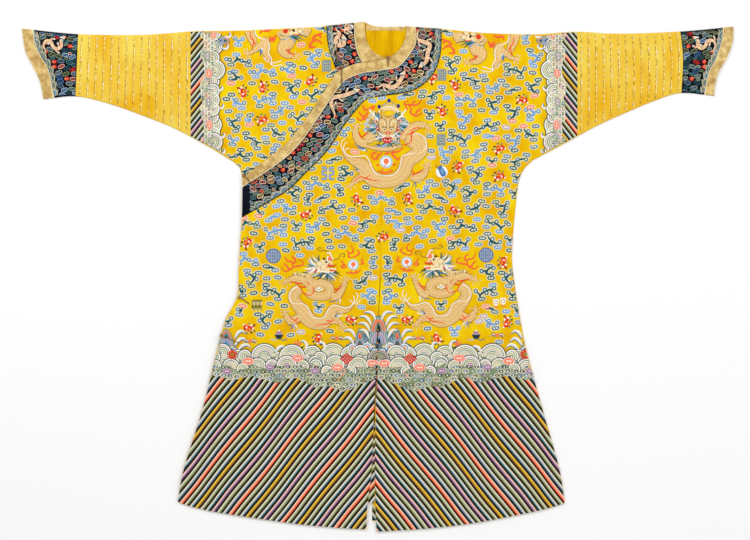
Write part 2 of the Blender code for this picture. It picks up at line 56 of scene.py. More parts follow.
BLUR = 2.0  # smoothing of the height fields, in grid steps

# ---------------------------------------------------------------- materials

THREADS = {  # the colour of each embroidery thread
    "cream": (0.86, 0.76, 0.54),
    "white": (0.90, 0.85, 0.74),
    "pale_blue": (0.38, 0.53, 0.68),
    "cloud_blue": (0.28, 0.40, 0.52),
    "sky": (0.16, 0.34, 0.62),
    "blue": (0.07, 0.16, 0.38),
    "ink": (0.008, 0.012, 0.024),
    "soot": (0.010, 0.006, 0.004),
    "teal": (0.012, 0.085, 0.095),
    "sea": (0.07, 0.21, 0.22),
    "sage": (0.25, 0.29, 0.13),
    "sage_rim": (0.11, 0.17, 0.10),
    "slate_rim": (0.10, 0.17, 0.21),
    "olive": (0.15, 0.18, 0.055),
    "moss": (0.075, 0.105, 0.03),
    "mist": (0.33, 0.40, 0.27),
    "coral": (0.90, 0.19, 0.075),
    "coral_light": (0.92, 0.34, 0.20),
    "red": (0.70, 0.03, 0.012),
    "crimson": (0.42, 0.018, 0.02),
    "pink": (0.88, 0.42, 0.34),
    "purple": (0.30, 0.13, 0.26),
    "plum": (0.10, 0.035, 0.08),
    "lilac": (0.52, 0.34, 0.48),
    "couched": (0.78, 0.51, 0.20),
    "couched_light": (0.92, 0.72, 0.38),
    "couched_dark": (0.34, 0.16, 0.04),
    "bronze": (0.36, 0.20, 0.03),
    "yellow": (0.90, 0.58, 0.006),
    "halo": (0.72, 0.68, 0.46),
    "slate": (0.15, 0.24, 0.33),
    "slate_light": (0.30, 0.39, 0.44),
    "night": (0.030, 0.055, 0.075),
    "night_teal": (0.010, 0.055, 0.058),
    "night_olive": (0.050, 0.060, 0.024),
    "scallop": (0.54, 0.46, 0.34),
    "stripe_cream": (0.76, 0.66, 0.46),
    "stripe_pink": (0.88, 0.56, 0.42),
    "stripe_yellow": (0.80, 0.53, 0.07),
    "stripe_gold": (0.70, 0.38, 0.006),
    "stripe_brown": (0.16, 0.06, 0.004),
    "wave_ground": (0.20, 0.26, 0.15),
    "wave_rim": (0.56, 0.55, 0.42),
    "flame": (0.84, 0.055, 0.012),
    "flame_light": (0.95, 0.40, 0.20),
    "pearl_white": (0.80, 0.86, 0.88),
    "deep_blue": (0.006, 0.016, 0.22),
    "dragon_skin": (0.84, 0.70, 0.42),
    "peach": (0.86, 0.50, 0.24),
    "couched_mid": (0.68, 0.40, 0.12),
    "stripe_sage": (0.47, 0.51, 0.33),
    "stripe_blue": (0.46, 0.57, 0.60),
    "foam_cream": (0.67, 0.62, 0.41),
    "foam_line": (0.82, 0.77, 0.55),
    "nose": (0.84, 0.20, 0.14),
    "pale_skin": (0.84, 0.60, 0.36),
    "rib_brown": (0.44, 0.20, 0.012),
    "rib_cream": (0.92, 0.80, 0.46),
}


def new_material(name, values):
    """A material with its shader's inputs set by name, and the node that gives places on the object."""
    material = bpy.data.materials.new(name)
    material.use_nodes = True
    tree = material.node_tree
    shader = tree.nodes["Principled BSDF"]
    for key, value in values.items():
        shader.inputs[key].default_value = value
    return material, tree, shader, tree.nodes.new("ShaderNodeTexCoord")


def new_node(tree, kind, **values):
    """A node with its inputs, or its own settings, set by name."""
    node = tree.nodes.new(kind)
    for name, value in values.items():
        key = name.replace("_", " ").title()
        if key in node.inputs:
            node.inputs[key].default_value = value
        else:
            setattr(node, name, value)
    return node


def emboss(tree, shader, where, pattern, strength, distance):
    """Raises the shader's surface by a pattern."""
    bump = new_node(tree, "ShaderNodeBump", strength=strength, distance=distance)
    tree.links.new(where.outputs["Object"], pattern.inputs["Vector"])
    tree.links.new(pattern.outputs["Fac"], bump.inputs["Height"])
    tree.links.new(bump.outputs["Normal"], shader.inputs["Normal"])


def grade(tree, shader, factor, deep, light, low, high):
    """Colours the shader from deep to light as a factor goes from low to high."""
    ramp = tree.nodes.new("ShaderNodeValToRGB")
    for stop, place, tone in zip(ramp.color_ramp.elements, (low, high), (deep, light)):
        stop.position = place
        stop.color = (*tone, 1)
    tree.links.new(factor, ramp.inputs["Fac"])
    tree.links.new(ramp.outputs["Color"], shader.inputs["Base Color"])


def thread_material(name):
    """Floss or couched metal thread: one colour, with fine ridges along the stitches."""
    key = f"thread_{name}"
    if key in bpy.data.materials:
        return bpy.data.materials[key]
    metal = name.startswith(("couched", "bronze"))
    material, tree, shader, where = new_material(key, {
        "Base Color": (*THREADS[name], 1.0), "Roughness": 0.42 if metal else 0.6,
        "Metallic": 0.2 if metal else 0.0, "Specular IOR Level": 0.12,
    })
    stitches = new_node(
        tree, "ShaderNodeTexWave", scale=260.0, distortion=6.0, detail=2.0, bands_direction="DIAGONAL"
    )
    emboss(tree, shader, where, stitches, 0.35, 0.0002)
    return material


def crossed_lines(tree, where, drift, scale):
    """The drift with two crossed sets of fine lines on it: the speckled diamonds of a gold brocade."""
    crossed = new_node(tree, "ShaderNodeMath", operation="MULTIPLY")
    blend = new_node(tree, "ShaderNodeMath", operation="MULTIPLY_ADD")
    for socket, turn in enumerate((0.9, -0.9)):
        turned = new_node(tree, "ShaderNodeMapping", rotation=(0, 0, turn))
        lines = new_node(
            tree, "ShaderNodeTexWave", scale=scale, distortion=2.5, detail=2.0, detail_scale=9.0
        )
        tree.links.new(where.outputs["Object"], turned.inputs["Vector"])
        tree.links.new(turned.outputs["Vector"], lines.inputs["Vector"])
        tree.links.new(lines.outputs["Fac"], crossed.inputs[socket])
    tree.links.new(crossed.outputs[0], blend.inputs[0])
    blend.inputs[1].default_value = 0.55
    tree.links.new(drift.outputs["Fac"], blend.inputs[2])
    return blend.outputs[0]


def cloth_material(name, light, deep, rough, patch=7.0, weave=420.0, bump=0.3, stretch=(1, 1, 1), lattice=0.0):
    """Woven silk: two close tones that drift across the cloth, and a fine weave."""
    material, tree, shader, where = new_material(name, {
        "Roughness": rough, "Specular IOR Level": 0.3, "Specular Tint": (*light, 1), "Sheen Weight": 0.12,
        "Sheen Roughness": 0.4, "Sheen Tint": (*light, 1),
    })
    scaled = new_node(tree, "ShaderNodeMapping", scale=stretch)
    drift = new_node(tree, "ShaderNodeTexNoise", scale=patch, detail=5.0, roughness=0.6)
    tree.links.new(where.outputs["Object"], scaled.inputs["Vector"])
    tree.links.new(scaled.outputs["Vector"], drift.inputs["Vector"])
    if lattice:
        grade(tree, shader, crossed_lines(tree, where, drift, lattice), deep, light, 0.42, 0.82)
    else:
        grade(tree, shader, drift.outputs["Fac"], deep, light, 0.34, 0.68)
    threads = new_node(tree, "ShaderNodeTexWave", scale=weave, distortion=1.5, detail=1.0)
    emboss(tree, shader, where, threads, bump, 0.00025)
    return material


def metal_material(name, light, deep, metallic, rough, grain, ridge):
    """Cast or braided metal for the knobs and loops: two tones in the grain, and its relief."""
    material, tree, shader, where = new_material(name, {"Metallic": metallic, "Roughness": rough})
    worn = new_node(tree, "ShaderNodeTexNoise", scale=grain, detail=4.0, roughness=0.6)
    tree.links.new(where.outputs["Object"], worn.inputs["Vector"])
    grade(tree, shader, worn.outputs["Fac"], deep, light, 0.38, 0.62)
    braid = new_node(
        tree, "ShaderNodeTexWave", scale=ridge, distortion=1.0, detail=1.0, bands_direction="DIAGONAL"
    )
    emboss(tree, shader, where, braid, 0.5, 0.0003)
    return material


SILK = cloth_material("imperial_yellow_silk", (0.86, 0.63, 0.005), (0.74, 0.365, 0.002), 0.45, patch=13.0)
LINING = cloth_material("lining_silk", (0.88, 0.58, 0.003), (0.52, 0.20, 0.001), 0.4, stretch=(3, 0.6, 1))
RIBBED = cloth_material("ribbed_silk", (0.83, 0.64, 0.10), (0.78, 0.425, 0.012), 0.42, patch=16.0,
                        stretch=(1, 0.35, 1))
GOLD = cloth_material("gold_brocade", (0.95, 0.74, 0.32), (0.34, 0.155, 0.02), 0.4, patch=60.0, weave=700.0,
                      bump=0.5, lattice=150.0)
NAVY = cloth_material("navy_silk", (0.008, 0.010, 0.018), (0.004, 0.005, 0.009), 0.5)
PIPING = cloth_material("piping_silk", (0.93, 0.84, 0.58), (0.84, 0.70, 0.42), 0.5, patch=60.0)
BRASS = metal_material("knob_brass", (0.46, 0.27, 0.11), (0.20, 0.10, 0.04), 0.55, 0.38, 500.0, 350.0)
CORD = metal_material("loop_cord", (0.34, 0.20, 0.06), (0.10, 0.045, 0.018), 0.1, 0.6, 900.0, 600.0)
for node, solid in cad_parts.items():
    finish = BRASS if node.startswith("knob_") else CORD if node.startswith("loop_") else None
    if finish:
        solid.material_slots[0].link = "OBJECT"
        solid.material_slots[0].material = finish

# ---------------------------------------------------------------- heights of the cloth


def node_mesh(*names):
    """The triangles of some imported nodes, in millimetres."""
    points, faces = [], []
    for name in names:
        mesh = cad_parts[name].data
        mesh.calc_loop_triangles()
        co = np.empty(len(mesh.vertices) * 3)
        mesh.vertices.foreach_get("co", co)
        tri = np.empty(len(mesh.loop_triangles) * 3, int)
        mesh.loop_triangles.foreach_get("vertices", tri)
        faces.append(tri.reshape(-1, 3) + sum(len(p) for p in points))
        points.append(co.reshape(-1, 3) / MM)
    return np.concatenate(points), np.concatenate(faces)


def blurred(grid, sigma):
    """A grid smoothed by a Gaussian, with its edges held."""
    reach = int(3 * sigma)
    weights = np.exp(-0.5 * (np.arange(-reach, reach + 1) / sigma) ** 2)
    weights /= weights.sum()
    for axis in (0, 1):
        padded = np.pad(grid, [(reach, reach) if a == axis else (0, 0) for a in (0, 1)], mode="edge")
        grid = sum(w * np.take(padded, range(k, k + grid.shape[axis]), axis) for k, w in enumerate(weights))
    return grid


class Field:
    """The height of a layer of cloth over the whole floor, from its solids, smoothed and creased."""

    LOW, HIGH = np.array([-990.0, -720.0]), np.array([990.0, 720.0])
    ABOVE = 100.0  # a height that is clear of all the cloth

    def __init__(self, *names):
        points, faces = node_mesh(*names)
        tree = BVHTree.FromPolygons([Vector(p) for p in points], faces.tolist())
        self.xs = np.arange(self.LOW[0], self.HIGH[0], GRID)
        self.ys = np.arange(self.LOW[1], self.HIGH[1], GRID)
        grid = np.full((len(self.xs), len(self.ys)), np.nan)
        down = Vector((0, 0, -1))
        for i, x in enumerate(self.xs):
            for j, y in enumerate(self.ys):
                hit = tree.ray_cast(Vector((x, y, self.ABOVE)), down)[0]
                if hit:
                    grid[i, j] = hit.z
        # The height past the edges is carried on from the nearest cloth.
        while np.isnan(grid).any():
            known = ~np.isnan(grid)
            total, count = np.zeros(grid.shape), np.zeros(grid.shape)
            for di, dj in ((1, 0), (-1, 0), (0, 1), (0, -1)):
                moved = np.roll(np.where(known, grid, 0.0), (di, dj), (0, 1))
                total += moved
                count += np.roll(known, (di, dj), (0, 1))
            grow = ~known & (count > 0)
            grid[grow] = total[grow] / count[grow]
        self.grid = blurred(grid, BLUR)
        self.grid += creases(*np.meshgrid(self.xs, self.ys, indexing="ij"))

    def __call__(self, points):
        """Heights at an array of (x, y)."""
        u = np.clip((points[:, 0] - self.LOW[0]) / GRID, 0, len(self.xs) - 1.001)
        v = np.clip((points[:, 1] - self.LOW[1]) / GRID, 0, len(self.ys) - 1.001)
        i, j = u.astype(int), v.astype(int)
        s, t = u - i, v - j
        g = self.grid
        return (
            g[i, j] * (1 - s) * (1 - t) + g[i + 1, j] * s * (1 - t) + g[i, j + 1] * (1 - s) * t
            + g[i + 1, j + 1] * s * t
        )


# Finer creases than the solids have: start, end, half width and height.
CREASES = [
    ((-330, 20), (-300, -230), 11, 0.8), ((-250, 190), (-60, 60), 13, 0.7), ((-120, 40), (-150, -600), 12, 0.8),
    ((60, 60), (75, -640), 12, 0.7), ((180, 60), (205, -650), 13, 0.9), ((300, 240), (40, 330), 14, 0.8),
    ((340, 280), (200, 450), 12, 0.9), ((380, 600), (250, 420), 13, 0.7), ((330, 0), (345, -330), 12, 0.7),
    ((390, -240), (455, -600), 13, 0.9), ((-400, -200), (-480, -590), 13, 0.9),
    ((-300, -250), (-330, -640), 11, 0.7), ((-330, 320), (-170, 560), 13, 0.9),
    ((-380, 500), (-200, 640), 12, 0.6), ((-330, 250), (-240, 620), 12, 0.6), ((440, 380), (600, 600), 12, 0.8),
    ((560, 420), (690, 640), 11, 0.8), ((700, 470), (760, 640), 10, 0.6), ((-440, 380), (-580, 600), 12, 0.8),
    ((-560, 430), (-690, 640), 11, 0.8), ((-700, 480), (-770, 630), 10, 0.6), ((0, 430), (250, 400), 12, 0.5),
    ((-140, 250), (230, 200), 14, 0.5), ((-350, 90), (300, 60), 10, 0.35), ((-440, -260), (460, -270), 9, 0.5),
    ((-500, -460), (480, -470), 9, 0.4),
]
UNEVEN = 0.22  # how far the laid cloth rises and falls between its creases


def creases(x, y):
    """The height that the fine creases and a slight unevenness add at each place."""
    rise = np.zeros(x.shape)
    for (ax, ay), (bx, by), width, height in CREASES:
        run_x, run_y = bx - ax, by - ay
        length = math.hypot(run_x, run_y)
        t = ((x - ax) * run_x + (y - ay) * run_y) / length**2
        across = ((x - ax) * run_y - (y - ay) * run_x) / length
        across = across + 6.0 * np.sin(t * 5.0 + ax)
        taper = np.clip((t + 0.1) * 5, 0, 1) * np.clip((1.1 - t) * 5, 0, 1)
        rise += height * np.exp(-((across / width) ** 2)) * taper * (0.75 + 0.25 * np.sin(9 * t + ay))
    rise += UNEVEN * np.sin(x / 37.0 + 1.7 * np.sin(y / 61.0)) * np.sin(y / 43.0 + np.sin(x / 83.0))
    return rise + UNEVEN


# ---------------------------------------------------------------- outlines and shells


def top_outline(name):
    """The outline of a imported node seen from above, as an anticlockwise ring of points."""
    points, faces = node_mesh(name)
    corners = points[faces]
    normal = np.cross(corners[:, 1] - corners[:, 0], corners[:, 2] - corners[:, 0])
    size = np.linalg.norm(normal, axis=1)
    top = faces[normal[:, 2] > 0.25 * size]
    key = {}
    ids = [[key.setdefault(tuple(np.round(points[i, :2], 2)), len(key)) for i in face] for face in top]
    places = np.array(list(key))
    sides = {(f[k], f[(k + 1) % 3]) for f in ids for k in range(3)}
    following = {a: b for a, b in sides if (b, a) not in sides}
    rings = []
    while following:
        start, here = next(iter(following.items()))
        ring = [start]
        following.pop(start)
        while here != start and here in following:
            ring.append(here)
            here = following.pop(here)
        rings.append(places[ring])
    return max(rings, key=lambda ring: np.ptp(ring[:, 0]) + np.ptp(ring[:, 1]))


CORNER = 0.5  # a turn, in radians, that stays sharp
CLOSE = 1.5  # points nearer than this become one


def unit(vectors):
    """Each of some vectors at a length of one."""
    return vectors / np.maximum(np.linalg.norm(vectors, axis=1), 1e-6)[:, None]


def smooth_ring(ring, step):
    """The ring with its corners kept and its runs rounded, about a step apart."""
    kept = [ring[0]]
    for point in ring[1:]:
        if np.linalg.norm(point - kept[-1]) > CLOSE:
            kept.append(point)
    ring = np.array(kept)
    before, after = ring - np.roll(ring, 1, 0), np.roll(ring, -1, 0) - ring
    turn = np.abs(np.arctan2(before[:, 0] * after[:, 1] - before[:, 1] * after[:, 0], (before * after).sum(1)))
    sharp = turn > CORNER
    slopes = unit(unit(before) + unit(after))
    out = []
    for i in range(len(ring)):
        n = (i + 1) % len(ring)
        a, b = ring[i], ring[n]
        length = np.linalg.norm(b - a)
        flat = (b - a) / length
        start = flat if sharp[i] else slopes[i]
        end = flat if sharp[n] else slopes[n]
        count = max(1, round(length / step))
        for k in range(count):
            t = k / count
            out.append(
                (2 * t**3 - 3 * t**2 + 1) * a + (t**3 - 2 * t**2 + t) * length * start
                + (3 * t**2 - 2 * t**3) * b + (t**3 - t**2) * length * end
            )
    return np.array(out)


def inside(points, ring):
    """Which of some points lie inside a ring."""
    x, y = points[:, 0:1], points[:, 1:2]
    a, b = ring[None], np.roll(ring, -1, 0)[None]
    ax, ay, bx, by = a[..., 0], a[..., 1], b[..., 0], b[..., 1]
    with np.errstate(divide="ignore", invalid="ignore"):
        cross = ((ay > y) != (by > y)) & (x < ax + (y - ay) / (by - ay) * (bx - ax))
    return cross.sum(1) % 2 == 1


def edge_distance(points, ring, chosen=None):
    """The distance of each point from the ring, or from the chosen edges of it."""
    a, b = ring, np.roll(ring, -1, 0)
    if chosen is not None:
        a, b = a[chosen], b[chosen]
    if len(a) == 0:
        return np.full(len(points), 1e6)
    run = b - a
    t = np.clip(((points[:, None] - a) * run).sum(2) / np.maximum((run**2).sum(1), 1e-9), 0, 1)
    return np.linalg.norm(points[:, None] - a - t[..., None] * run, axis=2).min(1)


def make_object(name, points, faces, materials, indices=None):
    """A smooth-shaded piece on the robe's one body, from points in millimetres."""
    mesh = bpy.data.meshes.new(name)
    mesh.from_pydata((np.asarray(points) * MM).tolist(), [], faces)
    for material in materials:
        mesh.materials.append(material)
    if indices is not None:
        mesh.polygons.foreach_set("material_index", np.asarray(indices, np.int32))
    mesh.shade_smooth()
    obj = bpy.data.objects.new(name, mesh)
    bpy.context.scene.collection.objects.link(obj)
    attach(obj, BODY)
    return obj


ROW_PITCH = 0.87  # rows of points this share of a step apart make nearly even triangles
RIM_DEPTHS = (0.7, 1.8, 3.4)  # how far inside an edge the points lie that its roll needs
THINNEST = 0.3
PANEL_SHARP, TUBE_SHARP = math.radians(50), math.radians(60)


def shell(name, ring, height, material, step=10.0, fold=None, thick=SHELL, roll=0.7, roll_run=3.0, floor=None):
    """A thin shell of cloth inside a ring, whose top is at a height field.

    fold tells from the middles of the edges which of them turn down to the floor; the others roll over by roll.
    floor is the height of a flat underside.
    """
    middle = (ring + np.roll(ring, -1, 0)) / 2
    folded = fold(middle[:, 0], middle[:, 1]) if fold else np.zeros(len(ring), bool)
    low, high = ring.min(0), ring.max(0)
    rows = np.arange(low[1], high[1], step * ROW_PITCH)
    lattice = np.array([
        (x + (step / 2 if k % 2 else 0), y) for k, y in enumerate(rows)
        for x in np.arange(low[0], high[0], step)
    ])
    lattice = lattice[inside(lattice, ring)]
    lattice = lattice[edge_distance(lattice, ring) > step * 0.6]
    tangent = np.roll(ring, -1, 0) - np.roll(ring, 1, 0)
    inward = unit(np.stack([-tangent[:, 1], tangent[:, 0]], 1))
    rims = []
    for depth in RIM_DEPTHS:
        rim = ring + inward * depth
        good = inside(rim, ring) & (edge_distance(rim, ring) > depth * 0.9)
        rims.append(rim[good])
    points = np.concatenate([ring, *rims, lattice])
    count = len(ring)
    edges = [(i, (i + 1) % count) for i in range(count)]
    found, _, faces, *_ = delaunay_2d_cdt([Vector(p) for p in points], edges, [], 0, 0.01)
    flat = np.array([tuple(p) for p in found])
    faces = np.array(faces)
    faces = faces[inside(flat[faces].mean(1), ring)]
    corners = flat[faces]
    area = np.cross(corners[:, 1] - corners[:, 0], corners[:, 2] - corners[:, 0])
    faces[area < 0] = faces[area < 0][:, ::-1]
    top = height(flat)
    bottom = top - thick
    edge = edge_distance(flat, ring)
    near = np.clip(edge / roll_run, 0, 1)
    top = top - roll * (1 - np.sqrt(1 - (1 - near) ** 2))
    if folded.any():
        gap = edge_distance(flat, ring, folded)
        share = np.clip(gap / FOLD_RADIUS, 0, 1)
        top = np.where(share < 1, FOLD_FOOT + (top - FOLD_FOOT) * np.sqrt(1 - (1 - share) ** 2), top)
        bottom = np.where(gap < FOLD_RADIUS, np.minimum(bottom, np.maximum(0, (top - thick) * share)), bottom)
    if floor is not None:
        bottom = np.full(len(flat), floor)
    bottom = np.clip(bottom, 0.0, top - THINNEST)
    sides = {(f[k], f[(k + 1) % 3]) for f in faces.tolist() for k in range(3)}
    rim = [(a, b) for a, b in sides if (b, a) not in sides]
    total = len(flat)
    all_faces = faces.tolist() + (faces[:, ::-1] + total).tolist()
    all_faces += [(a, a + total, b + total, b) for a, b in rim]
    places = np.concatenate([np.column_stack([flat, top]), np.column_stack([flat, bottom])])
    obj = make_object(name, places, all_faces, [material])
    obj.data.set_sharp_from_angle(angle=PANEL_SHARP)
    return obj


INSET = 1.2  # how far a tube's underside lies inside its folds, and above the floor there
FOLD_RUN = 12  # a rib rises over this distance from a fold
INNER_SKIN_FOOT = 0.9


def tube_shell(name, side, columns, field, material, raised=0.0, across=46):
    """A flattened tube of cloth between two lines across a sleeve: its outer skin, and its inner one.

    columns gives, for each line of points along the tube, a function from the share of the sleeve's width to x,
    and the extra height of that line.
    """
    lower, upper = SLEEVE_EDGES[side]
    half = np.concatenate([[0.0], 0.5 - 0.5 * np.cos(np.linspace(0.12, math.pi - 0.12, across)), [1.0]])
    rings = []
    for shares, extra in columns:
        xs = shares(half)
        low, high = np.interp(xs, *lower), np.interp(xs, *upper)
        ys = low + (high - low) * half
        gap = np.minimum(half, 1 - half) * (high - low)
        round_in = np.sqrt(1 - (1 - np.clip(gap / FOLD_RADIUS, 0, 1)) ** 2)
        top = field(np.column_stack([xs, ys])) + raised + extra * np.clip(gap / FOLD_RUN, 0, 1)
        top = FOLD_FOOT + (top - FOLD_FOOT) * round_in
        upper_row = np.column_stack([xs, ys, top])
        inset = (1 - round_in) * INSET
        lower_row = np.column_stack([xs, ys + np.where(half < 0.5, inset, -inset), inset])[1:-1]
        rings.append(np.concatenate([upper_row, lower_row[::-1]]))
    outer = np.array(rings)
    size = outer.shape[1]
    middle = outer.mean(1)[:, 2:3]
    shrink = outer.copy()
    offset = np.where(outer[..., 2] > middle, -SHELL, SHELL)
    shrink[..., 2] = np.clip(outer[..., 2] + offset, INNER_SKIN_FOOT, None)
    edge = np.zeros(size, bool)
    edge[[0, len(half) - 1]] = True
    shrink[:, 0, 1] += SHELL
    shrink[:, len(half) - 1, 1] -= SHELL
    shrink[:, edge, 2] = outer[:, edge, 2]
    points = np.concatenate([outer.reshape(-1, 3), shrink.reshape(-1, 3)])
    count = len(rings)
    way = 1 if side == "left" else -1
    faces = []
    for skin, first in ((1, 0), (-1, count * size)):
        for r in range(count - 1):
            for k in range(size):
                n = (k + 1) % size
                here, there = first + r * size, first + (r + 1) * size
                faces.append([here + k, here + n, there + n, there + k][:: way * skin])
    for r, skin in ((0, -1), (count - 1, 1)):
        for k in range(size):
            n = (k + 1) % size
            here, there = r * size, (count + r) * size
            faces.append([here + k, here + n, there + n, there + k][:: way * skin])
    obj = make_object(name, points, faces, [material])
    obj.data.set_sharp_from_angle(angle=TUBE_SHARP)
    return obj


# ---------------------------------------------------------------- embroidery


def curve(points, step=6.0):
    """Points about a step apart on a smooth curve through the given ones."""
    p = np.asarray(points, float)
    p = np.vstack([2 * p[0] - p[1], p, 2 * p[-1] - p[-2]])
    out = []
    for a, b, c, d in zip(p, p[1:], p[2:], p[3:]):
        count = max(1, round(np.linalg.norm(c - b) / step))
        for t in np.arange(count) / count:
            bend, twist = 2 * a - 5 * b + 4 * c - d, 3 * b - a - 3 * c + d
            out.append(0.5 * (2 * b + (c - a) * t + bend * t**2 + twist * t**3))
    return np.array([*out, p[-2]])


PIXEL = 2.7  # millimetres of robe to one step of the drawing
ORIGIN = (377.5, 276.75)  # the drawing's place for the middle of the frame


def ellipse(x, y, radius, turn, squash=1.0):
    """Points at some turns round a circle, or round one that is squashed."""
    return np.column_stack([x + radius * np.cos(turn), y + radius * squash * np.sin(turn)])


def round_turns(sides):
    """Even turns all the way round."""
    return np.linspace(0, 2 * math.pi, sides, endpoint=False)


def millimetres(x, y):
    """Where a point of the drawing, whose y runs down, lies on the robe."""
    return np.array([(x - ORIGIN[0]) * PIXEL, (ORIGIN[1] - y) * PIXEL])


class Work:
    """Embroidery as raised shapes in the flat: points (x, y, height), faces and a thread for each face.

    Shapes are in millimetres of the robe until on() sets another place for them.
    """

    def __init__(self):
        self.points, self.faces, self.threads = [], [], []
        self.count = 0
        self.place = (np.eye(2), np.zeros(2))

    def on(self, x, y, size=1.0, turn=0.0, mirror=False):
        """Sets where the shapes that follow go: their own x runs right and y down, in 2.7 mm steps by size."""
        c, s = math.cos(turn), math.sin(turn)
        step = PIXEL * size
        self.place = (np.array([[c, -s], [s, c]]) @ np.diag([-step if mirror else step, -step]),
                      millimetres(x, y))
        return self

    def add(self, points, heights, faces, thread):
        """Adds faces of one thread."""
        matrix, origin = self.place
        flat = np.asarray(points) @ matrix.T + origin
        self.points.append(np.column_stack([flat, heights]))
        turned = np.linalg.det(matrix) < 0
        for face in faces:
            face = [i + self.count for i in face]
            self.faces.append(face[::-1] if turned else face)
            self.threads.append(thread)
        self.count += len(flat)

    def line(self, path, width, thread, height=0.5, low=0.0, closed=False, rows=3):
        """A rounded cord or satin line along a path. Its width may be a list of stops along it."""
        path = np.asarray(path, float)
        count = len(path)
        if np.ndim(width):
            width = np.interp(np.linspace(0, 1, count), np.linspace(0, 1, len(width)), width)
        else:
            width = np.full(count, width)
        if closed:
            tangent = np.roll(path, -1, 0) - np.roll(path, 1, 0)
        else:
            tangent = np.gradient(path, axis=0)
        normal = np.stack([-tangent[:, 1], tangent[:, 0]], 1)
        normal /= np.maximum(np.linalg.norm(normal, axis=1), 1e-9)[:, None]
        across = np.linspace(-1, 1, rows)
        lift = np.sqrt(np.clip(1 - across**2, 0, 1))
        points = path[:, None] - normal[:, None] * (width[:, None] * across)[..., None] / 2
        heights = low + height * lift[None] * np.minimum(1, width / max(width.max(), 1e-9))[:, None] ** 0.5
        last = count if closed else count - 1
        faces = []
        for i in range(last):
            j = (i + 1) % count
            for k in range(rows - 1):
                faces.append([i * rows + k, i * rows + k + 1, j * rows + k + 1, j * rows + k])
        self.add(points.reshape(-1, 2), heights.reshape(-1), faces, thread)

    def patch(self, ring, thread, height=0.5, low=0.0, inner=0.6):
        """A filled shape, padded in the middle. Its ring is seen whole from its centre."""
        ring = np.asarray(ring, float)
        if (ring[:, 0] * np.roll(ring[:, 1], -1) - ring[:, 1] * np.roll(ring[:, 0], -1)).sum() < 0:
            ring = ring[::-1]
        count = len(ring)
        middle = ring.mean(0)
        points = np.vstack([ring, middle + (ring - middle) * inner, middle])
        heights = np.concatenate([np.full(count, low), np.full(count, low + height * 0.85), [low + height]])
        faces = []
        for i in range(count):
            j = (i + 1) % count
            faces.append([i, j, count + j, count + i])
            faces.append([count + i, count + j, 2 * count])
        self.add(points, heights, faces, thread)

    def disc(self, x, y, radius, thread, height=0.4, low=0.0, sides=10, squash=1.0):
        """A filled circle."""
        self.patch(ellipse(x, y, radius, round_turns(sides), squash), thread, height, low)

    def ring(self, x, y, radius, width, thread, height=0.3, low=0.0, sides=12, squash=1.0):
        """A cord laid in a circle."""
        self.line(ellipse(x, y, radius, round_turns(sides), squash), width, thread, height, low, closed=True)

    def arc(self, x, y, radius, start, end, width, thread, height=0.4, low=0.0, squash=1.0, count=9):
        """A cord laid along a part of a circle, between two turns in degrees."""
        turn = np.radians(np.linspace(start, end, count))
        self.line(ellipse(x, y, radius, turn, squash), width, thread, height, low)

    def lay(self, name, field, lift, keep=None):
        """Makes the embroidery one piece on a field, dropping the faces with a corner that keep refuses."""
        points = np.vstack(self.points)
        faces, threads = self.faces, self.threads
        if keep is not None:
            good = keep(points[:, :2])
            whole = [all(good[i] for i in f) for f in faces]
            faces = [f for f, ok in zip(faces, whole) if ok]
            threads = [t for t, ok in zip(threads, whole) if ok]
        used = sorted({i for f in faces for i in f})
        index = {old: new for new, old in enumerate(used)}
        faces = [[index[i] for i in f] for f in faces]
        points = points[used]
        z = field(points[:, :2]) + lift + points[:, 2]
        names = sorted(set(threads))
        slots = [names.index(t) for t in threads]
        places = np.column_stack([points[:, :2], z])
        return make_object(name, places, faces, [thread_material(n) for n in names], slots)


# The lines across the sleeves and their edges, as the solids have them.
SHOULDER = {
    "left": [(74, 676), (171, 669), (277, 659), (420, 654), (539, 661), (649, 656), (819, 662), (960, 675)],
    "right": [(-34, 688), (-139, 677), (-209, 672), (-390, 664), (-504, 662), (-632, 653), (-809, 655),
              (-960, 670)],
}
UNDERSLEEVE = {
    "left": [(420, 315), (471, 342), (539, 379), (601, 412), (682, 448), (747, 475), (819, 496), (910, 488)],
    "right": [(-390, 311), (-466, 357), (-545, 399), (-610, 426), (-718, 465), (-814, 487), (-903, 479)],
}
SHOULDER_SEAM = {"left": 420.0, "right": -390.0}
RIBBED_SEAM = {"left": 539.0, "right": -504.0}
CUFF_SEAM = {"left": [(820, 495), (824, 587), (817, 662)], "right": [(-815, 487), (-811, 575), (-808, 655)]}
CUFF_BAND = {
    "left": [(884, 492), (895, 550), (916, 593), (932, 641), (935, 672)],
    "right": [(-875, 485), (-890, 562), (-912, 601), (-927, 635), (-931, 667)],
}
CUFF_END = {
    "left": [(908, 488), (910, 512), (919, 550), (943, 593), (958, 635), (960, 675)],
    "right": [(-902, 479), (-905, 502), (-914, 537), (-933, 575), (-950, 610), (-960, 670)],
}
RIB_COUNT = {"left": 14, "right": 15}
RIB_HEIGHT = 1.1
RIB_WIDTH = 6.0
RIB_GROOVE = -0.35
PIPING_WIDTH = 3.0
SEAM_GAP = 0.15  # room that each sleeve piece leaves at its seams
OUTWARD = {"left": 1, "right": -1}


def sorted_columns(path):
    """The x and the y of a path's points, with x rising."""
    order = np.argsort(path[:, 0])
    return path[order, 0], path[order, 1]


SLEEVE_EDGES = {
    side: (sorted_columns(curve(UNDERSLEEVE[side])), sorted_columns(curve(SHOULDER[side]))) for side in SIDES
}


def across_line(path, shift=0.0):
    """A function from shares of the sleeve's width to x on a line across it."""
    smooth = curve(path, 5.0)
    share = (smooth[:, 1] - smooth[0, 1]) / (smooth[-1, 1] - smooth[0, 1])
    return lambda v: np.interp(v, share, smooth[:, 0]) + shift


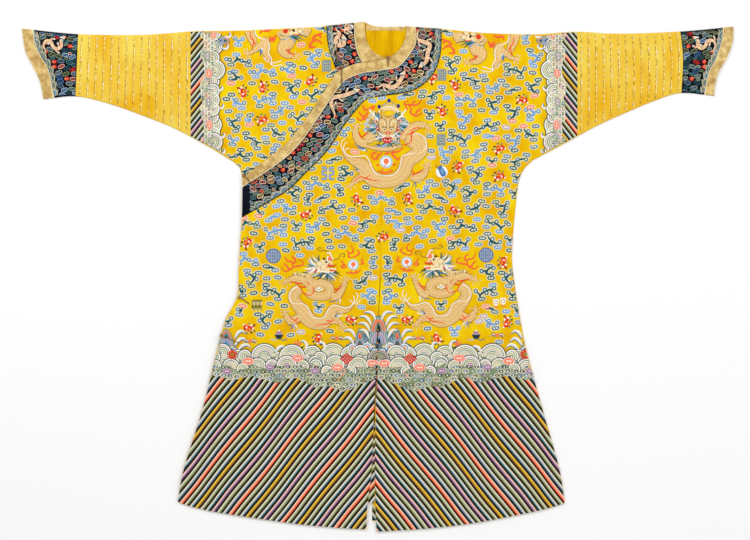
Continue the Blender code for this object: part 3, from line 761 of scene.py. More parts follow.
def between_lines(start, end, shares):
    """Columns for a tube, at the given (share, extra height) pairs between two lines."""
    return [(lambda v, s=s: start(v) + (end(v) - start(v)) * s, extra) for s, extra in shares]


def even(count):
    """Evenly spaced shares without extra height."""
    return [(k / (count - 1), 0.0) for k in range(count)]


def build_sleeve(side, field):
    """The sleeve's shells, from the shoulder to the open end of the cuff."""
    out = OUTWARD[side]
    gap = out * SEAM_GAP
    flat = lambda x: (lambda v: np.full(np.shape(v), x))
    seam, ribbed = SHOULDER_SEAM[side], RIBBED_SEAM[side]
    upper = tube_shell(
        f"cloth_sleeve_upper_{side}", side, between_lines(flat(seam + gap), flat(ribbed - gap), even(13)),
        field, SILK,
    )
    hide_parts(f"sleeve_upper_{side}")
    cuff_seam = across_line(CUFF_SEAM[side])
    length = abs(float(cuff_seam(0.5)) - ribbed)
    half = RIB_WIDTH / 2 / length
    shares = [(0.0, 0.0)]
    for k in range(RIB_COUNT[side]):
        middle = (k + 0.5) / RIB_COUNT[side]
        shares += [(middle + half * t, RIB_HEIGHT * math.cos(t * math.pi / 2) ** 2)
                   for t in (-1, -0.5, 0, 0.5, 1)]
        if k + 1 < RIB_COUNT[side]:
            shares.append((middle + 0.5 / RIB_COUNT[side], RIB_GROOVE))
    shares.append((1.0, 0.0))
    ribs = tube_shell(
        f"cloth_sleeve_ribbed_{side}", side,
        between_lines(flat(ribbed + gap), across_line(CUFF_SEAM[side], -gap), shares),
        field, RIBBED, across=40,
    )
    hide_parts(f"sleeve_ribbed_{side}")
    band, end = CUFF_BAND[side], CUFF_END[side]
    piping = out * PIPING_WIDTH
    cuff = tube_shell(
        f"cloth_cuff_{side}", side,
        between_lines(across_line(CUFF_SEAM[side], gap), across_line(band, -piping - gap), even(10)), field,
        NAVY,
    )
    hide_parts(f"cuff_{side}")
    cord = tube_shell(
        f"cloth_cuff_piping_{side}", side,
        between_lines(across_line(band, gap - piping), across_line(band, -gap),
                      [(0, -0.5), (0.5, 0.3), (1, -0.5)]),
        field, PIPING, raised=1.0,
    )
    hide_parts(f"cuff_piping_{side}")
    edge = tube_shell(
        f"cloth_cuff_band_{side}", side,
        between_lines(across_line(band, gap), across_line(end),
                      [(0, -0.2), (0.1, 0.1), (0.5, 0.2), (0.9, 0.1), (1, -0.6)]),
        field, GOLD, raised=0.6,
    )
    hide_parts(f"cuff_band_{side}")


# ---------------------------------------------------------------- the cloth

INNER = Field("front_right_inner", "sleeve_upper_right", "sleeve_ribbed_right", "cuff_right")
OUTER = Field("front_left", "front_right_outer", "sleeve_upper_left", "sleeve_ribbed_left", "cuff_left")
FIELDS = {"left": OUTER, "right": INNER}
TRIM_TOP, PIPING_TOP = 1.5, 2.3  # how far a band or a border, and its piping, stand above the cloth
BACK_TOP = 1.6
NECK_BAND_TOP = 4.4
RING_STEP = 7.0
RINGS = {}  # the outline of each panel


def panel(node, height, material, slot, **options):
    """A shell in place of one packed panel."""
    ring = smooth_ring(top_outline(node), RING_STEP)
    RINGS[node] = ring
    obj = shell(f"cloth_{node}", ring, height, material, **options)
    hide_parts(node)
    return obj


def level(height):
    """A flat field."""
    return lambda points: np.full(len(points), height)


def raised(field, by):
    """A field at some height above another."""
    return lambda points: field(points) + by


def lining_height(points):
    """The lining lies flat, with soft upright creases where the neck shows it."""
    x, y = points[:, 0], points[:, 1]
    shown = np.clip((y - 585) / 25, 0, 1) * np.clip(1 - ((x - 20) / 62) ** 4, 0, 1)
    waves = 0.5 * np.sin(x / 3.6) + 0.4 * np.sin(x / 6.1 + y / 60) + 0.25 * np.sin(x / 2.2 + y / 35)
    return 2.9 + shown * (0.6 + waves * 0.75)


def build_cloth():
    """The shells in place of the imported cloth, and each panel's by its node."""
    made = {}
    for side in SIDES:
        made[f"back_{side}"] = panel(
            f"back_{side}", level(BACK_TOP), SILK, "silk", step=24, floor=0.0, roll=0.4
        )
    made["back_lining"] = panel("back_lining", lining_height, LINING, "lining", step=5.0, floor=1.9)
    made["neck_band_back"] = panel(
        "neck_band_back", level(NECK_BAND_TOP), GOLD, "gold_brocade", step=5, thick=TRIM_SHELL, roll=0.5
    )
    made["front_right_inner"] = panel(
        "front_right_inner", INNER, SILK, "silk",
        fold=lambda x, y: ((y > 640) & (x < -36)) | ((x < -355) & (y < 312) & (x > -560) & (y > -550)),
    )
    made["front_right_outer"] = panel("front_right_outer", OUTER, SILK, "silk")
    made["front_left"] = panel(
        "front_left", OUTER, SILK, "silk",
        fold=lambda x, y: ((y > 640) & (x > 76) & (x < 419)) | ((x > 350) & (y < 314) & (y > -608) & (x < 505)),
    )
    for field, gold, border, piping in (
        (INNER, "neck_band_inner", "neck_border_inner", "neck_piping_inner"),
        (OUTER, "lapel_band", "lapel_border", "lapel_piping"),
    ):
        top = raised(field, TRIM_TOP)
        made[gold] = panel(gold, top, GOLD, "gold_brocade", step=6, thick=TRIM_SHELL, roll=0.8)
        made[border] = panel(border, top, NAVY, "navy_silk", step=7, thick=TRIM_SHELL, roll=0.5)
        made[piping] = panel(
            piping, raised(field, PIPING_TOP), PIPING, "piping", step=4, thick=1.8, roll=1.4, roll_run=1.5
        )
    for side in SIDES:
        build_sleeve(side, FIELDS[side])
    return made


CLOTH = build_cloth()

# ---------------------------------------------------------------- stripes

# Each stripe's threads from its light side to its dark one.
STRIPES = [
    ("stripe_pink", "coral_light", "coral", "flame", "soot"),
    ("stripe_cream", "stripe_sage", "sage", "moss", "soot"),
    ("stripe_cream", "stripe_blue", "slate", "night", "soot"),
    ("stripe_yellow", "stripe_gold", "bronze", "stripe_brown", "soot"),
    ("stripe_cream", "stripe_sage", "sage", "moss", "soot"),
    ("stripe_cream", "stripe_blue", "sea", "night_teal", "soot"),
    ("stripe_pink", "lilac", "purple", "plum", "soot"),
    ("stripe_cream", "stripe_sage", "sage", "olive", "soot"),
    ("stripe_cream", "stripe_blue", "slate", "night", "soot"),
]
STRIPE_EDGES = (0.0, 0.20, 0.36, 0.52, 0.63, 1.0)  # where each thread begins, as shares of a stripe
STRIPE_LIFTS = (0.2, 0.8, 1.0, 0.9, 0.5, 0.2)
STRIPE_CELL = 15  # length of a stripe's faces, about
STRIPE_FADE = 60  # the stripes sway less within this distance of their ends


def stripes(work, ring, angle, pitch, start, side, top=1e6, sway=1.5):
    """Slanting stripes of graded cord over a panel below a height on the robe, cut off at the panel's edge."""
    direction = np.array([math.cos(angle), math.sin(angle)])
    normal = side * np.array([direction[1], -direction[0]])
    a, b = ring, np.roll(ring, -1, 0)

    def crossing(offset):
        """The stretch of one slanting line that lies in the panel."""
        da, db = a @ normal - offset, b @ normal - offset
        hit = (da > 0) != (db > 0)
        if hit.sum() < 2:
            return None
        t = da[hit] / (da[hit] - db[hit])
        along = (a[hit] + t[:, None] * (b[hit] - a[hit])) @ direction
        begin, end = along.min(), min(along.max(), (top - offset * normal[1]) / direction[1])
        return (begin, end) if end - begin > 1 else None

    spread = ring @ normal
    count = int(np.ptp(ring @ direction) / STRIPE_CELL)
    for number in range(math.floor((spread.min() - start) / pitch), math.ceil((spread.max() - start) / pitch)):
        kinds = STRIPES[number % len(STRIPES)]
        for k, thread in enumerate(kinds):
            offsets = [start + (number + share) * pitch for share in STRIPE_EDGES[k:k + 2]]
            stretches = [crossing(offset) for offset in offsets]
            if None in stretches:
                continue
            rows, lifts = [], []
            for (begin, end), offset, lift in zip(stretches, offsets, STRIPE_LIFTS[k:k + 2]):
                along = np.linspace(begin, end, count + 1)
                fade = np.clip(np.minimum(along - begin, end - along) / STRIPE_FADE, 0, 1)
                wave = sway * fade * np.sin(along / 47 + offset / 90 + 1.3 * math.sin(offset / 130))
                rows.append(along[:, None] * direction + (offset + wave)[:, None] * normal)
                lifts += [lift] * (count + 1)
            points = np.concatenate(rows)
            faces = [[i, count + 1 + i, count + 2 + i, i + 1] for i in range(count)]
            if side < 0:
                faces = [face[::-1] for face in faces]
            work.add(points, lifts, faces, thread)


# ---------------------------------------------------------------- clouds

# A cloud's heads, its curls and its stems, in steps from its middle.
CLOUDS = [
    ([(8.6, -5.2), (-4.6, 6.9), (8.6, 4.0)], [(-9.2, -1.7), (0, -1.7), (1.2, 1.6), (9.5, -1.7)],
     [[(-8, -.6), (-5.7, 2.3), (-1.7, .6), (1.2, -.6), (5.7, -1.1), (8.6, -1.7)], [(-5.7, 2.3), (-5.7, 4.9)],
      [(5.7, -.9), (7.5, 2.3)]]),
    ([(-7.7, 4.3), (-2.3, -5.5), (9.8, 4.9)], [(-12.3, -1.1), (-8.8, -.6), (2.9, .3), (10.3, 1.0)],
     [[(-8.6, .3), (-4.6, 1.5), (-1.1, -1.1), (2.9, .6), (6.3, 1.7), (9.8, 1.5)], [(-1.1, -1.1), (-2, -3.4)]]),
    ([(-2.6, -6.6), (-7.7, -2.3), (7.5, 6.9)], [(2.3, -1.4), (.6, 3.2), (10, 1.7)],
     [[(-2, -3.7), (0, -.9), (3.4, 1.7), (6.9, 3.2), (9.5, 2)], [(.6, -.6), (.6, 2.9)]]),
    ([(0, 7.2), (5.7, -7.7)], [(-5.7, -5.2), (-4, -.3), (3.2, 3.7), (4.6, -3.7)],
     [[(-4.9, -5.2), (-2.6, -2.6), (-2, .6), (.3, 4), (2.6, 4)], [(-2.6, -2.6), (.9, -3.2), (4.3, -3.7)]]),
    ([(.6, -6), (-1.4, 6)], [(-4, -4), (8, -.9), (-2.3, 1.7)],
     [[(-3.4, -4.3), (0, -3.7), (2.6, -1.1), (3.4, 1.1), (-.6, 2.6), (-4.6, 2.9)], [(2.9, -.9), (7.5, -.9)]]),
    ([(-9.5, -2.6), (9.5, -7), (-1.7, 8), (-10.8, 2.2)], [(1.7, -.9), (9.8, -2.3), (2.9, 3.7)],
     [[(-5.6, 2.3), (-1.1, 1.7), (3.4, -1.4), (8.6, -2.9)], [(-1.1, 1.7), (-.3, 5.7)]]),
    ([(-6, -7.7), (5.5, -5.6), (-1.7, 7.5)], [(-6.3, -3.8), (-5.2, 4.0), (3.4, .6), (1.2, -3.6)],
     [[(-4, -4.9), (.9, 0), (-2.9, 5.2)], [(2.9, -3.4), (.9, 0)]]),
    ([(-8.3, -6), (-9.8, 4), (3.7, 6.6)], [(-10.6, -2.0), (-3.4, -.3), (-.3, -2.6), (9.2, -3.4), (12, -1.7)],
     [[(-8.3, -3.4), (-8, -.6), (-4, -.6), (0, -.6), (4.9, 2), (8.6, -.6)], [(4.9, 2), (4.9, 4.6)]]),
    ([(0, 4.4)], [(-3.6, -1.2), (3.8, -2)], [[(-3.4, -1.2), (0, .8), (3.6, -1.6)], [(0, .8), (0, 3)]]),
    ([(-.6, -4.6), (1.4, 4.4)], [(3.4, -.6)], [[(-.6, -2.6), (.4, 0), (1.4, 2.6)], [(.4, 0), (3, -.6)]]),
    ([(-4.4, 2.2), (4.6, -1.6)], [], [[(-4, .6), (0, -.6), (4.4, .4)]]),
    ([(0, 0)], [], []),
]
LARGE, SMALL, SINGLE = range(8), range(8, 11), range(11, 12)  # kinds of cloud
COLD = 0.4  # the share of clouds that are blue; the others are green
CORAL_HEADS, LILAC_HEADS = 0.05, 0.025
BLUE_HEADS = {True: 0.7, False: 0.45}  # up to which draw a head is blue, on a cold cloud and on another


def peanut(x, y, wide, high, count=14):
    """A round outline with two lobes."""
    turn = round_turns(count)
    return np.column_stack([x + wide * np.cos(turn), y + high * np.sin(turn) * (1 + 0.16 * np.cos(2 * turn))])


def cloud_head(work, x, y, rim, fill):
    """A small lobed cloud head with two curls."""
    work.line(peanut(x, y, 4.3, 2.6), 1.0, "halo", 0.3, closed=True)
    work.patch(peanut(x, y, 4.0, 2.3, 10), fill, 0.3, 0.12)
    work.line(peanut(x, y, 3.2, 1.65), 1.2, rim, 0.4, 0.3, closed=True)
    for side in (-1, 1):
        work.disc(x + side * 1.4, y, 0.8, "white", 0.3, 0.5, sides=6)


def curl(work, x, y, rim, fill, size=1.0):
    """A round curl with a white eye."""
    work.ring(x, y, 2.6 * size, 0.9 * size, "halo", 0.28, sides=10)
    work.disc(x, y, 2.3 * size, fill, 0.3, 0.1, sides=9)
    work.ring(x, y, 1.6 * size, 1.05 * size, rim, 0.35, 0.28, sides=9)
    work.disc(x, y, 0.75 * size, "white", 0.3, 0.4, sides=6)


def cloud(work, rng, x, y, kind, turn, mirror):
    """One drifting cloud: heads and curls on a branching stem."""
    heads, curls, paths = CLOUDS[kind]
    work.on(x, y, 1.0, turn, mirror)
    cold = rng.random() < COLD
    for path in paths:
        smooth = curve(path, 1.5)
        work.line(smooth, 4.2, "halo", 0.2)
        work.line(smooth, [1.7, 2.7, 1.7], "sky" if cold else "teal", 0.5, 0.08)
    for place in curls:
        rim = rng.choice(("sky", "slate_rim", "slate") if cold else ("teal", "sage_rim", "slate_rim"))
        curl(work, *place, rim, rng.choice(("cloud_blue", "mist")))
    for place in heads:
        draw = rng.random()
        if draw < CORAL_HEADS:
            cloud_head(work, *place, "coral", "pink")
        elif draw < CORAL_HEADS + LILAC_HEADS:
            cloud_head(work, *place, "lilac", "halo")
        elif draw < BLUE_HEADS[cold]:
            cloud_head(work, *place, rng.choice(("sky", "slate", "slate_rim")), "cloud_blue")
        else:
            cloud_head(work, *place, rng.choice(("teal", "sage_rim", "slate_rim")), "mist")


# ---------------------------------------------------------------- waves and mountains


FOAM_HALF = 88.0  # half the spread of a fan of foam, in degrees
FOAM_SHADES = ("slate_light", "sage", "slate", "stripe_sage", "lilac", "sea", "sage")
FOAM_PITCH = 1.85


def foam(work, x, y, radius, turn, base):
    """A fan of foam in thin arcs, white and cool by turns, with a dark line round it."""
    start, end = turn - FOAM_HALF, turn + FOAM_HALF
    rim = ellipse(x, y, radius, np.radians(np.linspace(start, end, 13)))
    work.arc(x, y, radius + 0.75, start, end, 1.1, "night_teal", 0.05, 0.24 + base, count=13)
    work.add(np.vstack([rim, [(x, y)]]), [0.3 + base] * 14, [[13, k + 1, k] for k in range(12)], "foam_cream")
    work.arc(x, y, radius - 0.1, start, end, 1.15, "white", 0.12, 0.33 + base, count=13)
    distance, k = radius - 1.35, int(x * 7) % 5
    while distance > 0.8:
        work.arc(x, y, distance, start, end, 0.85, FOAM_SHADES[k % 7], 0.08, 0.32 + base, count=11)
        if distance > 1.0:
            work.arc(x, y, distance - 0.95, start, end, 0.75, "foam_line", 0.12, 0.33 + base, count=11)
        distance -= FOAM_PITCH
        k += 1


WAVE_RIMS = {
    True: ("foam_line", "mist", "foam_cream", "foam_line", "stripe_pink"),
    False: ("mist", "wave_rim", "foam_cream", "wave_rim", "stripe_sage", "sage"),
}
WAVE_HOLLOWS = {
    True: ("sea", "slate", "sage", "teal", "lilac", "sage"),
    False: ("night", "ink", "soot", "moss", "night", "blue", "night_teal"),
}
PINK_EYES = 0.16  # the share of small waves with a pink eye


def small_wave(work, x, y, rng, size=1.0, pale=False):
    """One of the small curled waves at the foot of the band: a pale rim, a dark hollow and a bright eye."""
    rim = rng.choice(WAVE_RIMS[pale])
    dark = rng.choice(WAVE_HOLLOWS[pale])
    low = rng.choice((0.12, 0.3, 0.48))
    work.disc(x, y + 0.3, 3.6 * size, "mist" if pale else "soot", 0.05, low, sides=10, squash=0.68)
    work.ring(x, y, 3.1 * size, 1.15 * size, rim, 0.12, low + 0.1, sides=12, squash=0.66)
    work.disc(x, y, 2.45 * size, dark, 0.05, low + 0.1, sides=9, squash=0.62)
    work.arc(x, y + 0.4 * size, 1.6 * size, 200, 340, 0.5 * size, rng.choice(("slate", "mist", "sage")), 0.08,
             low + 0.16, squash=0.7, count=6)
    dot = "pink" if rng.random() < PINK_EYES else "white"
    work.disc(x + rng.uniform(-0.5, 0.5) * size, y + 0.3 * size, 0.85 * size, dot, 0.1, low + 0.2, sides=7,
              squash=0.75)


def rosette(work, x, y, thread, light, size, low):
    """A wide fungus head on the waves, with two white curls."""
    oval = lambda wide, high, count: [
        (x + wide * math.cos(t) * size, y + high * math.sin(t) * size) for t in round_turns(count)
    ]
    work.patch(oval(5.2, 3.3, 14), light, 0.35, low)
    work.line(oval(3.4, 1.7, 12), 1.0 * size, thread, 0.4, low + 0.3, closed=True)
    for side in (-1, 1):
        work.disc(x + side * 1.5 * size, y, 0.75 * size, "white", 0.3, low + 0.5, sides=6)


SPRAY_SHAPE = np.array([0.5, 1.1, 1.5, 1.3, 0.8, 0.15])  # its width along it
SPRAY_LOW = 0.9


def spray(work, path, width):
    """A breaking curl of spray: a white crescent with a blue back and a blue line along it."""
    path = curve(path, 0.8)
    for shift, share, thread, height, low in (
        ((0.3, 1.0), 1, "sea", 0.1, 0), ((0.15, 0.55), 1, "sky", 0.12, 0.1), ((0, 0), 1, "white", 0.3, 0.22),
        ((0.1, 0.2), 0.12, "slate_light", 0.1, 0.5),
    ):
        work.line(path + shift, width * SPRAY_SHAPE * share, thread, height, SPRAY_LOW + low)


def bullet(x, half, top, bottom, flare=0.0):
    """The outline of an upright rock that narrows to a rounded point and spreads at its foot."""
    share = np.linspace(-1, 1, 15)
    up = 1 - np.abs(share) ** 1.7
    reach = half * (1 - up**2.2) ** 0.6 + half * flare * (1 - up) ** 5
    return np.column_stack([x - np.sign(share) * reach, bottom + (top - bottom) * up])


def slab(work, ring, thread, height):
    """A flat layer, drawn as strips between the two sides of its ring."""
    ring = np.asarray(ring)
    count = len(ring)
    faces = [[k, k + 1, count - 2 - k, count - 1 - k] for k in range(count // 2 - 1)]
    if count % 2:
        k = count // 2 - 1
        faces.append([k, k + 1, k + 2])
    area = (ring[:, 0] * np.roll(ring[:, 1], -1) - ring[:, 1] * np.roll(ring[:, 0], -1)).sum()
    if area < 0:
        faces = [face[::-1] for face in faces]
    work.add(ring, [height] * count, faces, thread)


ROCK_SHADES = ("sea", "stripe_sage", "slate", "pale_blue", "mist", "sea", "slate_light", "slate_rim", "mist")
# A rock's two arches: how far down they begin, how far they reach, their thread, hollow and width.
ARCHES = {
    True: ((0.12, 0.34, "sea", "coral", 0.5), (0.52, 0.3, "lilac", "teal", 0.62)),
    False: ((0.13, 0.32, "coral", "sea", 0.52), (0.48, 0.3, "lilac", "sky", 0.54)),
}


def mountain(work, x, top, bottom, half, small=False):
    """A rock in nested bands, with a coral arch at its peak, a lilac one under it and hooks at its foot."""
    tall = bottom - top
    slab(work, bullet(x, half * 0.95, top, bottom, flare=0.3), "slate_rim", 0.9)
    for k, thread in enumerate(ROCK_SHADES):
        share = 0.95 - 0.08 * (k + 0.5)
        path = bullet(x, half * share, top + tall * 0.03 * (k + 0.5), bottom, flare=0.3)
        work.line(path, half * 0.07, thread, 0.1, 0.95)
    for place, reach, thread, inner, wide in ARCHES[small]:
        foot = top + (place + reach) * tall
        arch = bullet(x, half * wide, top + place * tall, foot)
        slab(work, arch, "slate_rim", 1.1)
        slab(work, bullet(x, half * wide * 0.72, top + (place + 0.06) * tall, foot), inner, 1.14)
        work.line(arch, half * 0.15, thread, 0.15, 1.12)
        work.line(bullet(x, half * wide * 0.7, top + (place + 0.07) * tall, foot), half * 0.06, "mist", 0.1,
                  1.18)
        slab(work, bullet(x, half * 0.12, top + (place + 0.16) * tall, foot), "red" if small else "ink", 1.2)
    for side in (-1, 1):
        for across, up, thread in ((0.72, 0.1, "stripe_gold"), (0.4, 0.02, "teal"), (1.02, 0.04, "blue")):
            for k, shade in enumerate((thread, "pale_blue", "white")):
                work.arc(x + side * half * across, bottom - up * tall, half * (0.27 - 0.09 * k), 180, 360,
                         half * 0.09, shade, 0.12, 1.24, count=7)


def foot_of_waves(x):
    """How low the small waves hang at each step across, on the right-hand half seen from the front."""
    return np.interp(
        x, (205, 211, 222, 232, 242, 252, 262, 278, 293, 305, 316, 328, 344, 358, 366, 374, 380),
        (371, 374, 375.5, 379, 376, 374.5, 377, 381.5, 375, 380, 386, 384, 390.5, 384, 380, 378, 378),
    )


def wave_ground(work, xs, top, foot, thread, height):
    """A flat band of cloth behind some waves, from one height in the drawing to a foot at each x."""
    count = len(xs)
    upper = np.column_stack([xs, np.full(count, top)])
    lower = np.column_stack([xs, np.broadcast_to(foot, count)])
    faces = [[count + k + 1, count + k, k, k + 1] for k in range(count - 1)]
    work.add(np.vstack([upper, lower]), [height] * 2 * count, faces, thread)


WAVES_MIRROR = 757.0  # the far half of the band is drawn from here


def wave_band(work, rng, mirror=False):
    """One half of the band of waves across the foot of the robe, from the side seam to the centre."""
    work.on(WAVES_MIRROR if mirror else 0, 0, mirror=mirror)
    xs = np.arange(196, 381.5, 2.0)
    # the ground: cream behind the foam, then grey-green under the small waves
    wave_ground(work, xs, 352, 366, "foam_cream", 0.2)
    wave_ground(work, xs, 361, foot_of_waves(xs), "wave_ground", 0.22)
    for row, y in enumerate(np.arange(366.5, 392, 4.4)):
        for x in np.arange(202 + (3.6 if row % 2 else 0), 380, 7.2):
            px, py = x + rng.uniform(-0.8, 0.8), y + rng.uniform(-0.6, 0.6)
            if py < foot_of_waves(px) - 0.6:
                small_wave(work, px, py, rng)
    # the scalloped hem of the small waves
    for x in np.arange(204, 380, 6.6):
        small_wave(work, x, foot_of_waves(x) - 1.0, rng)
    # low foam fills in behind the tall fans
    for k, x in enumerate(np.arange(206, 381, 8.5)):
        foam(work, x, 362 + (k % 3) * 1.5, 6.6 + (k % 2), -90 + 12 * math.sin(k), base=0.3 + 0.22 * (k % 2))
    fans = [
        (222, 353, 9, -70), (224, 362, 8, -75), (238, 358, 8, -60), (245, 356, 6, -110),
        (264.6, 356.8, 12.6, -92), (292.2, 357.5, 12.4, -100), (312.3, 354.5, 8.5, -90),
        (333, 355.5, 11.8, -90), (350, 355, 8.5, -95), (361, 354, 8.5, -95), (378.5, 359.5, 10.5, -90),
        (278, 358.5, 6, -40), (304, 360, 6.5, -120), (320, 358, 6, -60), (213, 357, 7, -60), (205, 352, 7, -60),
    ]
    for k, (x, y, radius, turn) in enumerate(sorted(fans)):
        foam(work, x, y, radius, turn, base=0.75 + 0.22 * (k % 3))
    near = [
        (287, 365.5, 9.5, -95), (258, 366, 7.5, -70), (335, 364.5, 9.0, -70), (316, 365, 5.5, -70),
        (358, 367, 9.5, -85), (231, 367, 8, -60), (243, 369, 5.5, -100), (327, 371, 5.2, -120),
        (351, 371, 5.0, -60), (303, 366, 5.5, -60), (272, 365, 5.5, -110), (215, 366, 6, -80),
        (371, 365, 5.5, -60),
    ]
    for k, (x, y, radius, turn) in enumerate(sorted(near)):
        foam(work, x, y, radius, turn, base=1.45 + 0.22 * (k % 3))
    for x, y in ((248.5, 361), (297.9, 358), (337.5, 367.3), (372.6, 363.2)):
        rosette(work, x, y, "coral", "pink", 1.15, 2.3)
    for x, y, size in ((269.8, 366.8, 0.85), (315.2, 370.8, 0.85), (287, 364.5, 0.6), (227, 371, 0.85)):
        rosette(work, x, y, "purple", "lilac", size, 2.3)
    # a red knot of small diamonds, and a red sun
    for a in range(4):
        for b in range(4):
            x, y = 346.8 + (a - b) * 1.8, 358.6 + (a + b - 3) * 1.55
            work.disc(x, y, 1.45, "red", 0.3, 2.4, sides=4, squash=0.86)
            if a < 3 and b < 3:
                work.disc(x, y + 1.55, 0.5, "white", 0.3, 2.3, sides=4)
    sun = (232.4, 354.4)
    for k in range(14):
        turn = k / 14 * 2 * math.pi
        ray = [(sun[0] + reach * math.cos(turn), sun[1] + reach * math.sin(turn)) for reach in (1.6, 5.6)]
        work.line(ray, [1.6, 0.5], "red", 0.3, 2.3)
    work.disc(*sun, 2.2, "bronze", 0.3, 2.5)
    # the rocks and the spray that breaks on them
    slab(work, [(381, 352), (381, 332), (366, 332), (354, 341), (346, 345), (346, 352)], "slate_rim", 0.3)
    for k in range(22):
        x = 348 + 1.55 * k
        work.arc(x, 351 - max(0, x - 352) * 0.42 - (k % 3) * 2.2, 2.6 + (k % 2), 180, 360, 0.9,
                 ("sea", "pale_blue", "teal", "stripe_sage", "sky", "slate")[k % 6], 0.15,
                 0.35 + 0.03 * (k % 3), count=8)
        work.disc(x + 0.8, 348 - max(0, x - 352) * 0.4 + (k % 4), 0.8,
                  ("white", "coral", "ink", "stripe_gold")[k % 4], 0.1, 0.6, sides=6)
    mountain(work, 377.5, 315.5, 351, 9.6)
    mountain(work, 359.8, 328, 350, 5.2, True)
    for path in (
        [(375.5, 320), (373.5, 314.5), (369.5, 311.5), (364, 312)],
        [(371.5, 325), (368.5, 319), (364.5, 316), (359, 316.5)],
        [(370, 331), (367, 325), (363, 322.5), (358, 323.5)],
        [(369, 338), (366.5, 332), (363, 329.5), (359, 330.5)],
        [(355.5, 337), (352.5, 331.5), (349, 329.5), (344, 330.5)],
        [(354, 344), (351, 339), (347.5, 337), (343, 338.5)],
    ):
        spray(work, path, 1.8)
    for x, y in ((367, 347), (352.5, 348)):
        for k, thread in enumerate(("white", "sky", "foam_cream", "coral")):
            work.arc(x, y, 4.0 - 1.0 * k, 150, 380, 1.0, thread, 0.15, 1.3 + 0.05 * k, count=9)
    mountain(work, 226.5, 329, 350, 8.0)
    for path in (
        [(235, 338), (238, 332.5), (242, 330.5), (246, 333)],
        [(235, 345), (239, 339.5), (243, 338), (247.5, 341)],
        [(238, 350), (243, 345), (248, 344.5), (251, 348)],
        [(276, 353), (278.5, 347.5), (283, 346), (286, 349)],
        [(304, 351), (307, 345.5), (304.5, 341), (300.5, 341)],
        [(322, 351), (325, 347), (323, 342.5), (319, 343)], [(218.5, 340), (215, 335), (211, 336)],
    ):
        spray(work, path, 1.8)


# ---------------------------------------------------------------- flowers, flames and small signs


BLOSSOM_SIZE = 0.9


def blossom(work, x, y, rng):
    """Two flowers and a bud among dark and pale leaves, turned at random."""
    work.on(x, y, BLOSSOM_SIZE, rng.uniform(0, 6.28))
    for path, thread in (
        ([(-6.2, 2.6), (-4.6, 4.6)], "sage"), ([(1.6, 4.6), (4.4, 5.4)], "ink"),
        ([(-3.2, 5.0), (-0.6, 6.2)], "olive"), ([(5.6, 2.2), (7.2, 3.8)], "teal"),
        ([(-6.8, -2.4), (-5.0, -4.4)], "white"), ([(5.4, -4.6), (7.0, -2.8)], "ink"),
        ([(2.0, 2.4), (4.4, 3.4)], "mist"), ([(-1.2, -5.0), (1.2, -4.8)], "sage"),
        ([(-3.4, 2.4), (-4.8, 3.2)], "night_olive"),
    ):
        work.line(curve(path, 1.2), [0.8, 1.9, 0.7], thread, 0.3, 0.12)
    for fx, fy, reach, rim, heart, petals in (
        (-2.6, -0.8, 2.3, "coral", "white", 5), (3.2, -1.2, 1.9, "white", "crimson", 5),
        (-0.2, 3.2, 1.3, "pink", "red", 3),
    ):
        for k in range(petals):
            way = 6.283 * k / petals + fx
            work.disc(fx + reach * math.cos(way), fy + reach * 0.85 * math.sin(way), 0.75 * reach,
                      ("red", rim)[k % 2], 0.3, 0.2 + 0.1 * (k % 3), sides=7)
        work.disc(fx, fy, 0.5 * reach, heart, 0.3, 0.55, sides=6)


FLAME = [  # the flames about a side dragon's chest
    [(150, 360), (210, 415), (290, 385), (340, 345), (420, 330), (490, 310), (480, 260), (425, 240)],
    [(190, 290), (240, 335), (250, 385)], [(200, 180), (240, 250), (300, 262), (330, 290), (318, 345)],
    [(310, 180), (365, 230), (350, 285), (322, 300)], [(290, 385), (250, 350), (248, 330)],
]


def flame(work, paths, width):
    """Tongues of fire: red cords with a light line laid along them."""
    for path in paths:
        smooth = curve(path, 16)
        work.line(smooth, [width * 0.7, width * 1.4, width * 1.4, width * 0.6], "flame", 0.45, 0.1)
        work.line(smooth, [0.1, width * 0.28, width * 0.28, 0.1], "flame_light", 0.35, 0.4)


def pearl(work, x, y, radius):
    """A pale pearl with a coral heart and a tail."""
    work.disc(x, y, radius, "pearl_white", 0.5, 0.15, sides=16)
    work.ring(x, y, radius * 0.86, radius * 0.2, "pale_blue", 0.25, 0.45, sides=16)
    work.disc(x, y - radius * 0.1, radius * 0.45, "coral", 0.35, 0.6, sides=10)
    tail = curve([(x + radius * 0.3, y), (x - radius * 0.1, y + radius * 0.5), (x - radius * 0.5, y + radius)],
                 12)
    work.line(tail, [radius * 0.2, radius * 0.16, radius * 0.08], "coral", 0.3, 0.7)


def disc_sign(work, x, y):
    """A round seal of upright blue and lilac bars."""
    work.on(x, y)
    work.disc(0, 0, 7.3, "slate", 0.3, 0.1, sides=20)
    work.ring(0, 0, 7.0, 0.9, "blue", 0.3, 0.3, sides=20)
    for k in range(-3, 4):
        reach = math.sqrt(max(0, 6.2**2 - (k * 1.75) ** 2))
        work.line([(k * 1.75, -reach), (k * 1.75, reach)], 0.75, ("lilac", "pale_blue")[k % 2], 0.3, 0.35)
    for k in (-2, 0, 2):
        reach = math.sqrt(6.0**2 - (k * 1.6) ** 2)
        work.line([(-reach, k * 1.6), (reach, k * 1.6)], 0.5, "blue", 0.25, 0.5)


